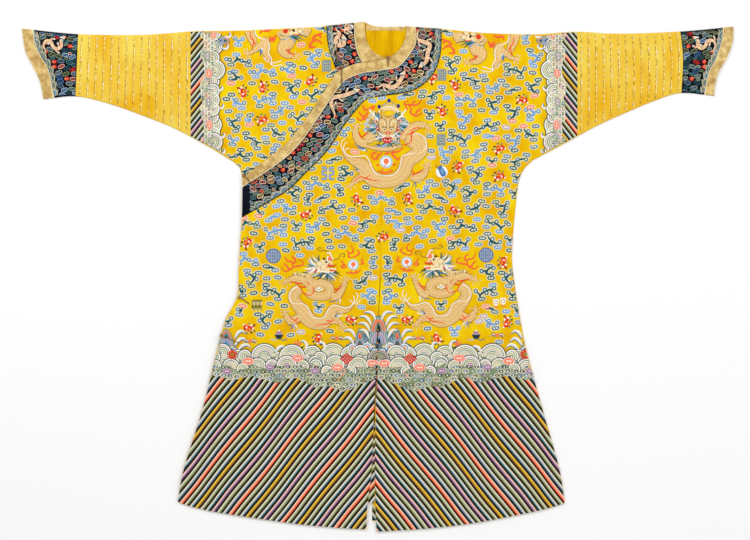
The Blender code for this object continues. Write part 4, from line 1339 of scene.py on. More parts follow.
def tablet_sign(work, x, y):
    """A framed panel of small crossed marks."""
    work.on(x, y)
    frame_line = [(-4, -5.5), (4, -5.5), (4, 5.5), (-4, 5.5)]
    work.patch(frame_line, "mist", 0.3, 0.1, inner=0.8)
    work.line(frame_line, 0.8, "slate", 0.35, 0.25, closed=True)
    for row in range(4):
        for column in (-2, 0, 2):
            thread = "purple" if (row + column // 2) % 2 else "blue"
            work.disc(column, -3.9 + row * 2.6, 0.85, thread, 0.3, 0.4, sides=5)


def key_sign(work, x, y):
    """Two bent bars back to back."""
    for side in (False, True):
        work.on(x, y, mirror=side)
        path = [(6.2, -5.8), (1.9, -5.8), (1.9, -2.6), (5.4, -2.6), (5.4, 1.2), (1.9, 1.2), (1.9, 5.6),
                (6.4, 5.6)]
        points = np.vstack([np.linspace(a, b, 3)[:-1] for a, b in zip(path, path[1:])] + [[path[-1]]])
        work.line(points, 2.3, "blue", 0.35, 0.1)
        work.line(points, 0.9, "pale_blue", 0.3, 0.35)
    work.on(x, y)
    work.line([(0, -5.5), (0, 0), (0, 5.5)], 0.8, "cream", 0.3, 0.2)


def axe_sign(work, x, y):
    """A blue axe head on a pale disc."""
    work.on(x, y)
    work.disc(0, 0.5, 5.9, "pearl_white", 0.3, 0.1, sides=16)
    work.patch([(-4.6, -4), (-1, -6.5), (4.3, 1), (3.6, 4.8), (0, 5.4), (-2.2, 2)], "blue", 0.35, 0.35)
    work.patch([(-2.6, -2), (0, -4), (3, 1), (2.6, 3.2), (0, 3.2)], "sky", 0.3, 0.5)
    work.line([(-6.5, -6), (-3.5, -3)], 1.2, "bronze", 0.4, 0.5)


def lattice_sign(work, x, y):
    """A square of small crossed stitches."""
    work.on(x, y)
    for row in range(6):
        for column in range(6):
            px, py = (column - 2.5) * 1.75, (row - 2.5) * 1.75
            thread = ("olive", "foam_cream", "ink", "sage")[(row * 3 + column * 2 + row // 2) % 4]
            work.line([(px - 0.8, py - 0.8), (px + 0.8, py + 0.8)], 0.55, thread, 0.15, 0.1)
            work.line([(px - 0.8, py + 0.8), (px + 0.8, py - 0.8)], 0.55, thread, 0.15, 0.16)


def cup_sign(work, x, y):
    """Two white cups side by side."""
    for dx, dy in ((-3.2, 0.6), (4.0, -0.6)):
        work.on(x + dx, y + dy)
        work.patch([(-3, -3.5), (3, -3.5), (2.6, 1.5), (0, 3.6), (-2.6, 1.5)], "white", 0.4, 0.1)
        work.ring(0, -0.5, 1.7, 0.8, "bronze", 0.3, 0.35, sides=8)
        work.line([(-2, 4.4), (2, 4.4)], 1.1, "coral", 0.3, 0.1)


# ---------------------------------------------------------------- dragons

# The dragons are drawn on a fine grid, this many of whose steps make one of the robe's.
FINE = 1 / 15.68


SWELL = 1.1  # the couched lengths are this much wider than drawn
OUTLINE = 18  # the dark outline's extra width
SCALE_STEP = 30.0
LAST_SCALE = 0.86  # no scale lies further from the middle of the back, as a share of its half width


def body(work, path, widths, low=0.1, scales=True, fold=1.0):
    """A couched length of a dragon: a dark outline, a back that fold makes rounder, and rows of scales."""
    path = curve(path, 26)
    count = len(path)
    widths = np.interp(np.linspace(0, 1, count), np.linspace(0, 1, len(widths)), widths) * SWELL
    work.line(path, widths + OUTLINE, "couched_dark", 0.25, low)
    work.line(path, widths, "couched", 1.0 * fold, low + 0.15, rows=7)
    if not scales:
        return
    tangent = np.gradient(path, axis=0)
    tangent /= np.linalg.norm(tangent, axis=1)[:, None]
    normal = np.stack([-tangent[:, 1], tangent[:, 0]], 1)
    travelled = np.concatenate([[0], np.cumsum(np.linalg.norm(np.diff(path, axis=0), axis=1))])
    for number, distance in enumerate(np.arange(SCALE_STEP, travelled[-1], SCALE_STEP)):
        k = min(int(np.searchsorted(travelled, distance)), count - 1)
        width = widths[k]
        places = max(1, int(width / SCALE_STEP))
        for column in range(places):
            across = (column + 0.5 + (0.25 if number % 2 else -0.25)) / places * 2 - 1
            if abs(across) > LAST_SCALE:
                continue
            lift = low + 0.2 + fold * math.sqrt(1 - across**2)
            centre = path[k] + normal[k] * across * width / 2
            arc = [centre + normal[k] * s * 14 + tangent[k] * (13 * (1 - s * s)) for s in (-1, -0.4, 0.4, 1)]
            work.line(arc, 6.5, ("couched_light", "couched_mid")[(number + column) % 2], 0.16, lift)


def ridge(work, path, width=15, low=0.9):
    """The pale back fin of a dragon."""
    work.line(curve(path, 24), width, "white", 0.4, low)


def bowed(x, y, tip, bow, step):
    """A curve that bows a little to one side on its way to a tip."""
    tx, ty = tip
    bend = ((x + tx) / 2 + (ty - y) * bow, (y + ty) / 2 - (tx - x) * bow)
    return curve([(x, y), bend, tip], step)


def claw(work, x, y, tips):
    """A foot of five spread toes."""
    low = 0.6
    work.disc(x, y, 30, "couched", 0.6, low, sides=10)
    for tip in tips:
        toe = bowed(x, y, tip, 0.14, 16)
        work.line(toe, [24, 20, 14, 5], "couched", 0.6, low)
        work.line([toe[-2], toe[-1] + (toe[-1] - toe[-2]) * 0.4], [14, 3], "white", 0.4, low + 0.35)


def tuft(work, x, y, tips, threads=("sea", "blue", "pale_blue", "white"), width=13, low=0.3):
    """Locks of floss fanning from one place."""
    for k, tip in enumerate(tips):
        lock = bowed(x, y, tip, 0.12, 22)
        work.line(lock, [width, width * 1.2, 4], threads[k % len(threads)], 0.4, low + 0.05 * (k % 3))


def fire(work, *paths):
    """Red flames over a dragon's limbs."""
    for path in paths:
        work.line(curve(path, 16), [12, 20, 10], "flame", 0.4, 1.2)


def across_face(points, side, middle=783):
    """Points of a face that are given as steps out from its middle, on one of its sides."""
    return [(middle + side * x, y) for x, y in points]


def front_dragon(work):
    """The dragon on the chest, seen from the front, coiled round a pearl."""
    body(work, [(78, 880), (140, 975), (250, 1045), (370, 1095), (440, 1195), (530, 1300), (650, 1350),
                (790, 1355), (930, 1310), (1030, 1210), (1078, 1090), (1125, 1010), (1205, 955), (1278, 880),
                (1262, 785), (1180, 720), (1070, 690)],
         [22, 60, 110, 175, 205, 210, 195, 180, 185, 188, 185, 185, 190, 205, 235, 225, 150])
    body(work, [(430, 700), (500, 670), (570, 640)], [120, 160, 110], low=0.2)
    body(work, [(440, 800), (600, 838), (800, 845), (1000, 800)], [30, 62, 62, 30], low=0.3, scales=False)
    ridge(work, [(88, 885), (170, 955), (300, 968), (430, 958), (488, 1040), (530, 1135), (585, 1225),
                 (680, 1262), (780, 1270), (880, 1250), (950, 1170), (985, 1050), (1012, 962), (1130, 922),
                 (1290, 908), (1372, 835), (1385, 750), (1335, 655), (1240, 605), (1165, 622)])
    for path in ([(85, 880), (48, 800), (60, 730), (112, 690)], [(85, 880), (92, 800), (120, 755), (150, 745)],
                 [(100, 890), (140, 840), (180, 845)]):
        ridge(work, path, 12, 0.4)
    tuft(work, 440, 850, [(240, 700), (262, 775), (312, 838), (372, 880), (452, 905)])
    tuft(work, 360, 1150, [(230, 1120), (225, 1170), (270, 1205), (330, 1200)])
    tuft(work, 1200, 1350, [(1160, 1440), (1215, 1470), (1290, 1400), (1320, 1375)])
    # legs and claws
    body(work, [(450, 770), (345, 735), (285, 650), (275, 560), (298, 490)], [110, 105, 95, 75, 50], low=0.5,
         fold=0.7)
    claw(work, 296, 478, [(222, 470), (248, 420), (212, 560), (368, 452), (345, 520)])
    body(work, [(985, 690), (1060, 590), (1160, 515), (1280, 470), (1385, 485)], [80, 130, 125, 95, 60],
         low=0.5, fold=0.7)
    claw(work, 1400, 497, [(1470, 465), (1468, 545), (1425, 590), (1370, 590), (1350, 430)])
    body(work, [(520, 1290), (400, 1290), (300, 1320), (215, 1395)], [100, 95, 80, 45], low=0.5, fold=0.6)
    claw(work, 200, 1415, [(112, 1408), (130, 1460), (195, 1490), (268, 1450), (300, 1385)])
    body(work, [(1130, 1290), (1250, 1300), (1345, 1240), (1388, 1150), (1392, 1100)], [70, 120, 105, 70, 45],
         low=0.5, fold=0.7)
    claw(work, 1392, 1085, [(1365, 1030), (1455, 1045), (1462, 1110), (1455, 1180), (1300, 1100)])
    fire(work, [(325, 580), (345, 630), (388, 700)], [(362, 655), (410, 640), (472, 592)],
         [(960, 672), (1000, 610), (1050, 570)], [(1120, 570), (1200, 525), (1292, 512)],
         [(1060, 635), (1140, 605), (1185, 570), (1150, 640), (1150, 720), (1085, 770), (1010, 790)],
         [(250, 1362), (300, 1310), (360, 1285), (430, 1310), (540, 1335), (665, 1360)],
         [(430, 1310), (500, 1262)], [(1150, 1180), (1212, 1232), (1332, 1170)], [(1205, 1232), (1160, 1280)])
    # the head: mane, horns, brow, eyes, nose, mouth and beard
    for side in (-1, 1):
        tuft(work, 780 + side * 130, 470, across_face(
            [(215, 330), (285, 395), (330, 440), (372, 470), (362, 520), (340, 560), (310, 585), (262, 610),
             (222, 640)],
            side, 780,
        ), ("teal", "sea", "pale_blue", "mist", "sky"), 24, 0.9)
        tuft(work, 780 + side * 120, 400, across_face([(150, 250), (190, 262), (120, 290)], side, 780),
             ("teal", "sea", "sky"), 26, 0.9)
        ridge(work, across_face([(150, 390), (220, 320), (290, 228)], side, 780), 22, 1.2)
        ridge(work, across_face([(205, 335), (218, 290), (205, 255)], side, 780), 13, 1.2)
    work.patch([(600, 640), (690, 600), (880, 600), (970, 640), (960, 760), (860, 800), (700, 800), (610, 760)],
               "couched", 0.6, 0.8)
    for side in (-1, 1):
        for root, tips, width in (
            ((112, 400), [(222, 290), (262, 335), (280, 385), (200, 262), (170, 300)], 22),
            ((130, 500), [(310, 425), (345, 470), (330, 515), (318, 560), (290, 600), (262, 635), (352, 540),
                          (300, 660)], 24),
            ((100, 620), [(225, 662), (222, 705), (190, 738), (150, 768), (110, 790), (250, 640)], 24),
        ):
            tuft(work, 783 + side * root[0], root[1], across_face(tips, side),
                 ("teal", "white", "slate", "night_teal", "pale_blue", "sea", "mist", "ink"), width, 0.88)
    for x, y, r in ((440, 463, 40), (434, 549, 38), (470, 395, 34), (510, 330, 30), (1023, 385, 38),
                    (1048, 492, 36), (1010, 575, 34), (1075, 430, 30), (485, 640, 34)):
        curl(work, x, y, "slate", "white", r / 3.0)
    face = [(628, 420), (650, 365), (715, 348), (785, 362), (860, 345), (925, 365), (948, 430), (935, 520),
            (905, 590), (862, 640), (820, 668), (782, 676), (740, 668), (700, 640), (660, 590), (636, 510)]
    work.patch(face, "couched", 0.9, 1.0, inner=0.75)
    work.line(face, 9, "bronze", 0.3, 1.15, closed=True)
    for path in ([(700, 352), (712, 300), (745, 330)], [(752, 356), (768, 305), (783, 345)],
                 [(783, 345), (800, 305), (815, 354)], [(822, 330), (855, 300), (866, 350)]):
        work.line(curve(path, 12), [8, 15, 6], "couched_light", 0.4, 1.0)
        work.line(curve(path, 12), 4, "bronze", 0.2, 1.45)
    for side in (-1, 1):
        across = lambda points: across_face(points, side)
        bulb = [(30, 545), (18, 470), (34, 400), (75, 368), (130, 378), (152, 450), (138, 540)]
        work.line(curve(across(bulb), 22), 11, "bronze", 0.3, 1.9)
        tuft(work, 783 + side * 128, 440, across([(178, 350), (196, 390), (205, 440), (200, 480)]),
             ("white", "teal", "couched_light", "ink"), 15, 1.3)
        tuft(work, 783 + side * 96, 590, across([(150, 640), (168, 610), (132, 662), (104, 676)]),
             ("white", "sea", "ink", "mist"), 15, 1.3)
        for path, wide, thread in (
            ([(55, 500), (50, 430), (78, 396)], 22, "dragon_skin"),
            ([(88, 440), (102, 405), (122, 425)], 18, "cream"),
            ([(118, 470), (112, 520), (100, 550)], 17, "dragon_skin"),
            ([(76, 470), (80, 500), (70, 520)], 13, "couched_mid"),
            ([(14, 400), (8, 450), (12, 500)], 10, "halo"), ([(24, 522), (56, 500), (92, 522)], 16, "ink"),
            ([(34, 470), (42, 420), (60, 385)], 8, "bronze"), ([(92, 530), (104, 480), (96, 440)], 8, "bronze"),
            ([(120, 560), (136, 520), (142, 470)], 9, "crimson"),
            ([(30, 570), (66, 590), (104, 560)], 9, "bronze"), ([(66, 380), (60, 350), (84, 340)], 10, "white"),
            ([(124, 400), (130, 372), (112, 352)], 10, "mist"),
        ):
            work.line(curve(across(path), 16), [wide * 0.6, wide, wide * 0.5], thread, 0.3, 1.9)
        work.line(curve(across([(172, 500), (160, 560), (112, 622)]), 18), [26, 42, 34, 12], "crimson", 0.4,
                  1.5)
        work.disc(783 + side * 164, 528, 17, "pink", 0.3, 1.9, sides=9)
        for k in range(4):
            work.line(across([(150, 560 - 38 * k), (196, 548 - 50 * k)]), [12, 5], ("cream", "couched")[k % 2],
                      0.3, 1.4)
        work.disc(783 + side * 60, 543, 19, "white", 0.3, 1.9, sides=10)
        work.disc(783 + side * 58, 544, 13, "ink", 0.3, 2.15, sides=9)
        work.line(curve(across([(28, 648), (72, 648), (112, 622), (160, 575), (196, 566)]), 18),
                  [24, 24, 17, 12, 5], "white", 0.4, 2.2)
        work.line(curve(across([(60, 664), (130, 668), (182, 640), (230, 655)]), 18), [14, 12, 9, 4], "white",
                  0.3, 2.0)
        work.line(curve(across([(172, 392), (205, 420), (150, 470)]), 18), [36, 30, 12], "pink", 0.4, 1.3)
        work.line(curve(across([(180, 400), (186, 430), (160, 460)]), 18), [12, 12, 6], "crimson", 0.3, 1.65)
    work.line(curve([(744, 612), (756, 594), (784, 585), (812, 594), (824, 612)], 14), [16, 28, 34, 28, 16],
              "nose", 0.5, 2.1)
    for x in (760, 810):
        work.disc(x, 610, 11, "crimson", 0.2, 2.5, sides=7)
    work.patch([(690, 682), (735, 668), (790, 673), (845, 668), (852, 712), (820, 748), (775, 764), (730, 752),
                (700, 722)],
               "red", 0.5, 1.9)
    work.line([(738, 690), (790, 694), (836, 688)], [12, 16, 8], "night_olive", 0.3, 2.35)
    for x, y in ((728, 716), (758, 728), (800, 728), (826, 712)):
        work.line([(x, y), (x + 8, y - 26)], [16, 5], "white", 0.3, 2.35)
    work.line([(735, 656), (790, 664), (838, 652)], 13, "pink", 0.3, 2.3)
    tuft(work, 780, 745, [(545, 800), (575, 770), (610, 825), (660, 800), (690, 835), (735, 815), (780, 840),
                          (830, 812), (865, 835), (915, 800), (950, 825), (985, 770), (1005, 800)],
         ("slate", "teal", "pale_blue", "olive", "sky", "mist", "sea"), 22, 1.3)
    # the arch over the head, and three stars joined by a line
    arch = curve([(655, 285), (700, 235), (790, 212), (890, 232), (945, 285)], 20)
    work.line(arch, 62, "couched_light", 0.8, 0.2, rows=5)
    for k in range(2, len(arch) - 2, 3):
        work.ring(*arch[k], 24, 8, ("bronze", "peach", "couched_mid")[k % 3], 0.2, 0.95, sides=10)
    ridge(work, [(625, 280), (680, 222), (790, 182), (900, 212), (962, 270)], 16, 0.7)
    work.patch([(735, 285), (780, 265), (835, 285), (830, 330), (740, 330)], "yellow", 0.6, 1.2)
    work.line(curve([(645, 185), (725, 150), (800, 92), (875, 135), (945, 175)], 20), 9, "slate", 0.3, 0.15)
    work.line(curve([(700, 175), (760, 150), (800, 145), (850, 155), (900, 185)], 20), 10, "pale_blue", 0.3,
              0.15)
    for x, y in ((800, 90), (645, 186), (945, 176)):
        work.disc(x, y, 25, "deep_blue", 0.4, 0.4, sides=9, squash=1.25)
    # the pearl and the fire about it
    pearl(work, 755, 1050, 100)
    flame(work, [[(520, 965), (545, 990), (590, 1008), (640, 990)], [(522, 960), (548, 920), (610, 900)],
                 [(600, 985), (640, 940), (690, 905)], [(730, 940), (770, 912), (815, 900)],
                 [(1018, 835), (960, 880), (880, 905), (850, 930), (905, 985), (935, 1025), (975, 970)],
                 [(850, 930), (842, 905), (880, 885)], [(600, 1090), (625, 1105), (650, 1100)],
                 [(620, 1180), (680, 1212), (760, 1220), (830, 1200), (865, 1178)], [(690, 1205), (700, 1160)],
                 [(830, 1200), (815, 1165)], [(850, 1100), (890, 1090), (905, 1070)]], 20)
    flame(work, [[(380, 158), (425, 235), (480, 228), (540, 180), (590, 185)],
                 [(540, 180), (560, 215), (530, 235)],
                 [(330, 265), (362, 320), (400, 345), (385, 385), (345, 400), (295, 350)],
                 [(400, 345), (450, 310), (470, 270)], [(385, 385), (440, 370), (470, 345)]], 20)
    flame(work, [[(1310, 75), (1250, 150), (1180, 165), (1105, 150), (1050, 160), (1035, 125), (1110, 95)],
                 [(1180, 165), (1170, 120), (1225, 100)],
                 [(1105, 160), (1150, 230), (1130, 270), (1185, 320), (1250, 325), (1320, 280)],
                 [(1215, 322), (1235, 265), (1305, 205)], [(1060, 185), (1085, 240)]], 20)


def side_dragon(work):
    """A dragon seen from the side, reaching for a pearl."""
    body(work, [(440, 680), (365, 740), (342, 830), (390, 925), (470, 1020), (545, 1130), (650, 1210),
                (770, 1232), (870, 1175), (920, 1065), (1000, 1005), (1110, 1015), (1200, 1000), (1288, 925)],
         [140, 150, 150, 160, 185, 205, 190, 170, 155, 150, 130, 100, 66, 20])
    # the upper coil
    body(work, [(560, 700), (640, 628), (760, 600), (880, 640), (905, 715), (860, 785), (740, 805), (620, 780),
                (560, 735)], [120, 135, 120, 125, 125, 120, 120, 120, 110], low=0.3)
    work.patch([(660, 700), (740, 655), (820, 690), (740, 735)], "couched_light", 0.5, 0.8)
    work.disc(738, 692, 52, "white", 0.35, 1.15, sides=12, squash=0.5)
    work.line(curve([(700, 685), (735, 700), (775, 680)], 14), 14, "olive", 0.3, 1.4)
    ridge(work, [(405, 655), (315, 700), (268, 785), (292, 875), (360, 925), (440, 912), (530, 945),
                 (578, 1000), (605, 1075), (650, 1135), (760, 1150), (830, 1122), (872, 1035), (925, 962),
                 (1000, 942), (1100, 975), (1200, 978), (1285, 905)])
    for path in ([(1290, 915), (1335, 850), (1342, 790), (1318, 745)], [(1290, 915), (1290, 850), (1275, 790)],
                 [(1290, 915), (1240, 880), (1215, 850)], [(1300, 930), (1370, 890), (1380, 850)]):
        ridge(work, path, 12, 0.4)
    tuft(work, 440, 540, [(320, 440), (355, 425), (395, 405), (450, 425), (500, 470), (545, 490)],
         ("sea", "white", "mist", "pale_blue", "white"), 24)
    tuft(work, 1040, 770, [(880, 900), (940, 905), (1000, 920), (1060, 930), (1105, 800)], width=20)
    tuft(work, 330, 1230, [(240, 1260), (285, 1330), (345, 1355), (410, 1320)], width=16)
    tuft(work, 1000, 1150, [(950, 1075), (1030, 1050), (1120, 1060), (1130, 1110)], width=16)
    body(work, [(560, 600), (470, 550), (360, 525), (235, 560)], [90, 105, 85, 48], low=0.6, fold=0.6)
    claw(work, 205, 570, [(112, 592), (150, 655), (232, 672), (300, 622), (198, 508)])
    body(work, [(930, 820), (1030, 790), (1095, 690), (1160, 570)], [100, 105, 85, 48], low=0.6, fold=0.6)
    claw(work, 1168, 545, [(1080, 505), (1140, 480), (1200, 498), (1245, 540), (1065, 570)])
    body(work, [(430, 1130), (320, 1190), (245, 1150), (212, 1065)], [100, 115, 90, 46], low=0.5, fold=0.6)
    claw(work, 208, 1045, [(128, 1030), (140, 1090), (172, 1170), (200, 985), (285, 1040)])
    body(work, [(900, 1180), (1010, 1185), (1105, 1250)], [100, 95, 50], low=0.6, fold=0.6)
    claw(work, 1118, 1272, [(1010, 1300), (1060, 1345), (1120, 1370), (1180, 1350), (1185, 1285)])
    fire(work, [(290, 570), (390, 595), (492, 600)], [(400, 600), (440, 650), (560, 662)],
         [(460, 662), (485, 745), (590, 790), (640, 755), (660, 685), (600, 635), (540, 568)],
         [(990, 752), (1050, 690), (1112, 618)], [(1045, 700), (968, 690)],
         [(270, 1140), (350, 1182), (442, 1222)], [(350, 1182), (420, 1140)],
         [(680, 1262), (780, 1250), (880, 1230), (955, 1180), (1060, 1230)], [(850, 1182), (960, 1198)],
         [(940, 1140), (975, 1170)])
    # the neck and the head
    body(work, [(650, 420), (575, 490), (600, 570), (690, 615)], [100, 110, 120, 110], low=0.5, fold=0.7)
    tuft(work, 690, 330, [(560, 205), (600, 190), (555, 290), (520, 320), (500, 370), (520, 415), (545, 440),
                          (575, 470)],
         ("pale_blue", "white", "sea", "mist", "white", "lilac"), 26, 0.9)
    tuft(work, 800, 420, [(640, 490), (700, 560), (690, 500), (760, 470), (830, 470), (900, 480), (935, 560),
                          (985, 565), (1010, 480), (1060, 440)], ("sea", "teal", "blue", "pale_blue", "ink"),
         22, 0.9)
    tuft(work, 720, 400, [(470, 455), (505, 495), (540, 520), (575, 545), (610, 520), (450, 420)],
         ("white", "sea", "mist", "ink", "white", "teal"), 22, 0.82)
    tuft(work, 860, 440, [(740, 520), (790, 560), (845, 580), (900, 590), (950, 590), (1005, 570), (1050, 530),
                          (1085, 480)],
         ("white", "sea", "teal", "sky", "mist"), 18, 0.82)
    tuft(work, 760, 290, [(600, 180), (640, 165), (690, 170), (740, 150)], ("sea", "white", "mist", "teal"), 20,
         0.82)
    work.patch([(670, 330), (690, 270), (760, 235), (850, 235), (930, 250), (960, 300), (880, 330), (900, 385),
                (1000, 400), (960, 440), (820, 435), (700, 430)], "couched_light", 0.9, 1.0, inner=0.75)
    for x, y, r in ((745, 300, 48), (800, 350, 44), (730, 370, 42), (860, 275, 36)):
        work.disc(x, y, r, "dragon_skin", 0.4, 1.6, sides=10)
        work.ring(x, y, r, 8, "couched_dark", 0.2, 1.75, sides=10)
    work.disc(912, 208, 40, "coral", 0.6, 1.4, sides=10)
    work.disc(855, 268, 17, "ink", 0.3, 2.2, sides=8)
    work.disc(818, 215, 18, "ink", 0.3, 1.6, sides=8)
    for path in ([(862, 130), (905, 120), (930, 170), (960, 230)], [(880, 175), (862, 240), (890, 255)],
                 [(930, 365), (975, 385), (1005, 372)], [(700, 420), (750, 405), (830, 425), (900, 430)],
                 [(600, 440), (640, 400), (660, 360)]):
        ridge(work, path, 20, 1.7)
    for path in ([(960, 235), (1040, 215), (1075, 145), (1135, 140), (1140, 178), (1100, 182)],
                 [(900, 110), (830, 85), (770, 92), (712, 70), (740, 40), (780, 55)]):
        work.line(curve(path, 16), 12, "bronze", 0.4, 0.5)
    for path in ([(860, 352), (905, 300), (920, 285)], [(905, 330), (960, 330), (1005, 305)],
                 [(905, 395), (1000, 405)], [(670, 430), (710, 372)]):
        work.line(curve(path, 14), [26, 22, 10], "red", 0.45, 1.8)
    pearl(work, 1275, 310, 85)
    flame(work, [[(1170, 85), (1205, 130), (1262, 118), (1272, 70), (1240, 15)],
                 [(1205, 130), (1200, 180), (1250, 205)], [(1330, 78), (1370, 125), (1320, 172), (1240, 200)],
                 [(1082, 245), (1125, 305), (1085, 340), (1140, 358), (1180, 335)], [(1125, 305), (1165, 330)],
                 [(1160, 430), (1230, 442), (1330, 432), (1390, 385)], [(1330, 432), (1310, 395)],
                 [(1230, 442), (1240, 405)], [(1365, 300), (1432, 292), (1400, 240), (1430, 208)]], 17)
    flame(work, FLAME, 18)


def small_dragon(work, path, width):
    """A little dragon of couched cord: a finned tail, scaled body, clawed legs and a maned, horned head."""
    smooth = curve(path, 1.6)
    share = np.linspace(0, 1, len(smooth))
    run = np.gradient(smooth, axis=0)
    run /= np.linalg.norm(run, axis=1)[:, None]
    out = np.stack([-run[:, 1], run[:, 0]], 1)
    widths = np.interp(share, (0, 0.3, 0.8, 1), (width * 0.25, width, width, width * 0.7))
    work.line(smooth, widths + 1.1, "soot", 0.25, 0.05)
    work.line(smooth, widths, "pale_skin", 0.7, 0.2, rows=5)
    for k in range(2, len(smooth) - 1):
        half = widths[k] * 0.36
        arc = [smooth[k] + out[k] * half * t + run[k] * 0.7 * (1 - t * t) for t in (-1, 0, 1)]
        work.line(arc, 0.45, ("bronze", "couched_light", "coral", "bronze", "crimson")[k % 5], 0.1, 0.88)
    # the fin along the back, and the tail's fronds
    back = smooth + out * (widths * 0.5 + 0.2)[:, None]
    work.line(back, [0.3, 0.7, 0.7, 0.4], "stripe_pink", 0.4, 0.45)
    for turn, thread in ((-0.7, "coral"), (0.0, "red"), (0.7, "stripe_pink")):
        c, t = math.cos(turn), math.sin(turn)
        away = -run[0] @ np.array([[c, t], [-t, c]])
        work.line(curve([smooth[0], smooth[0] + away * 2, smooth[0] + away * 3.6 + out[0] * turn], 1.0),
                  [1.1, 1.0, 0.3], thread, 0.4, 0.2)
    for place, reach in ((0.28, 1), (0.42, -1), (0.66, 1), (0.82, -1)):
        k = int(place * (len(smooth) - 2))
        side = out[k] * reach
        knee, foot = smooth[k] + side * width * 0.9 - run[k], smooth[k] + side * width * 1.35 + run[k] * 1.4
        work.line(curve([smooth[k], knee, foot], 1.0), [2.4, 1.7, 1.1], "pale_skin", 0.5, 0.35)
        work.line([smooth[k] + side * 1.2, knee + side * 0.8], [0.7, 0.3], "crimson", 0.4, 0.85)
        for lean in (-1, 0, 1):
            tip = foot + side * 1.2 + run[k] * lean * 1.2
            work.line([foot, tip], [0.8, 0.3], "white", 0.35, 0.5)
    # the head
    head, ahead, up = smooth[-1], run[-1], out[-1] * (1 if out[-1][1] < 0 else -1)
    for lean, thread in ((-1.4, "sea"), (-0.9, "pale_blue"), (-0.3, "sage"), (0.4, "teal"), (1.0, "pale_blue")):
        tip = head - ahead * 3.4 + up * lean * 2.6
        work.line(curve([head, (head + tip) / 2 + up * 0.5, tip], 1.0), [1.1, 1.1, 0.3], thread, 0.4, 0.75)
    work.disc(*head, width * 0.58, "pale_skin", 0.7, 0.7, sides=9)
    work.line([head, head + ahead * width * 0.85], [width * 0.75, width * 0.6, width * 0.35], "pale_skin", 0.7,
              0.75)
    work.line([head + ahead * 1.2 - up * 0.9, head + ahead * 3.4 - up * 1.5], [0.9, 0.5], "red", 0.35, 1.2)
    for lean in (0.2, 1.1):
        work.line([head + up * 1.0 - ahead * lean, head + up * 3.2 - ahead * (lean + 1.6)], [0.8, 0.3], "white",
                  0.4, 1.2)
    work.disc(*(head + up * 0.5 + ahead * 0.5), 0.75, "white", 0.3, 1.35, sides=6)
    work.disc(*(head + up * 0.5 + ahead * 0.7), 0.38, "ink", 0.3, 1.5, sides=5)


def umbrella_sign(work, x, y):
    """A small parasol: a lilac top over dark tiers, with ribbons."""
    work.on(x, y)
    for k, (wide, thread) in enumerate(((2.2, "purple"), (3.4, "lilac"), (4.0, "night_teal"), (3.4, "ink"),
                                        (2.4, "teal"))):
        work.line([(-wide, 1.6 * k - 4), (wide, 1.6 * k - 4)], 1.5, thread, 0.3, 0.15)
    for side in (-1, 1):
        work.line(curve([(side * 2, 3), (side * 5, 4.4), (side * 7, 2.6), (side * 8.5, 4)], 1.2),
                  [1.0, 0.9, 0.5], ("pale_blue", "sea")[side > 0], 0.3, 0.12)
    work.disc(0, -5.2, 1.1, "white", 0.3, 0.2, sides=7)


def lotus_sign(work, x, y):
    """A coral lotus on a short stem, between two leaves."""
    work.on(x, y)
    for side in (-1, 1):
        work.line(curve([(0, 2.6), (side * 4, 3.6), (side * 6.4, 1.2)], 1.2), [0.8, 1.8, 0.5], "teal", 0.3,
                  0.12)
        work.line(curve([(0, 1.5), (side * 2.6, -0.6), (side * 3.4, -3.4)], 1.2), [1.6, 2.4, 0.6], "coral",
                  0.35, 0.2)
    work.line([(0, 2), (0, -5)], [2.4, 3.2, 0.8], "red", 0.35, 0.3)
    work.line([(0, 1), (0, -3)], [0.8, 0.4], "pink", 0.3, 0.65)


def ribbon_sign(work, x, y):
    """A knot of brown and white ribbons."""
    work.on(x, y)
    for k, thread in enumerate(("bronze", "white", "crimson", "sage")):
        work.line(curve([(-8 + k, 2 - k), (-4, -2 + k), (0, 1), (4, -2 + k), (8 - k, 1 + 0.6 * k)], 1.2),
                  [0.5, 1.2, 1.0, 1.2, 0.5], thread, 0.3, 0.12 + 0.08 * k)
    work.disc(0, 0, 1.8, "coral", 0.3, 0.45, sides=8)


# ---------------------------------------------------------------- where the embroidery goes


def within(points, rings, holes=()):
    """Which points lie in any of some rings and in none of the holes."""
    good = np.zeros(len(points), bool)
    for ring in rings:
        good |= inside(points, ring)
    for hole in holes:
        good &= ~inside(points, hole)
    return good


def sleeve_ring(side, start, end, trim=3.0):
    """The outline of a sleeve from above between two places along it, a little inside its folds."""
    xs = np.linspace(start, end, 60)
    low = np.column_stack([xs, np.interp(xs, *SLEEVE_EDGES[side][0]) + trim])
    high = np.column_stack([xs, np.interp(xs, *SLEEVE_EDGES[side][1]) - trim])
    ring = np.vstack([low, high[::-1]])
    return ring if end > start else ring[::-1]


def drawn(points):
    """Where points of the robe lie in the drawing's steps."""
    return np.column_stack([points[:, 0] / PIXEL + ORIGIN[0], ORIGIN[1] - points[:, 1] / PIXEL])


def footprint(kind, turn, mirror):
    """Points round a cloud's heads and curls, from its middle, in steps."""
    heads, curls, paths = CLOUDS[kind]
    parts = [peanut(x, y, 5.0, 3.2, 10) for x, y in heads] + [peanut(x, y, 3.1, 3.1, 8) for x, y in curls]
    parts += [np.array(heads + curls)] + [np.array(path) for path in paths]
    matrix = Work().on(0, 0, 1.0, turn, mirror).place[0]
    return np.vstack(parts) @ matrix.T * (1 / PIXEL, -1 / PIXEL)


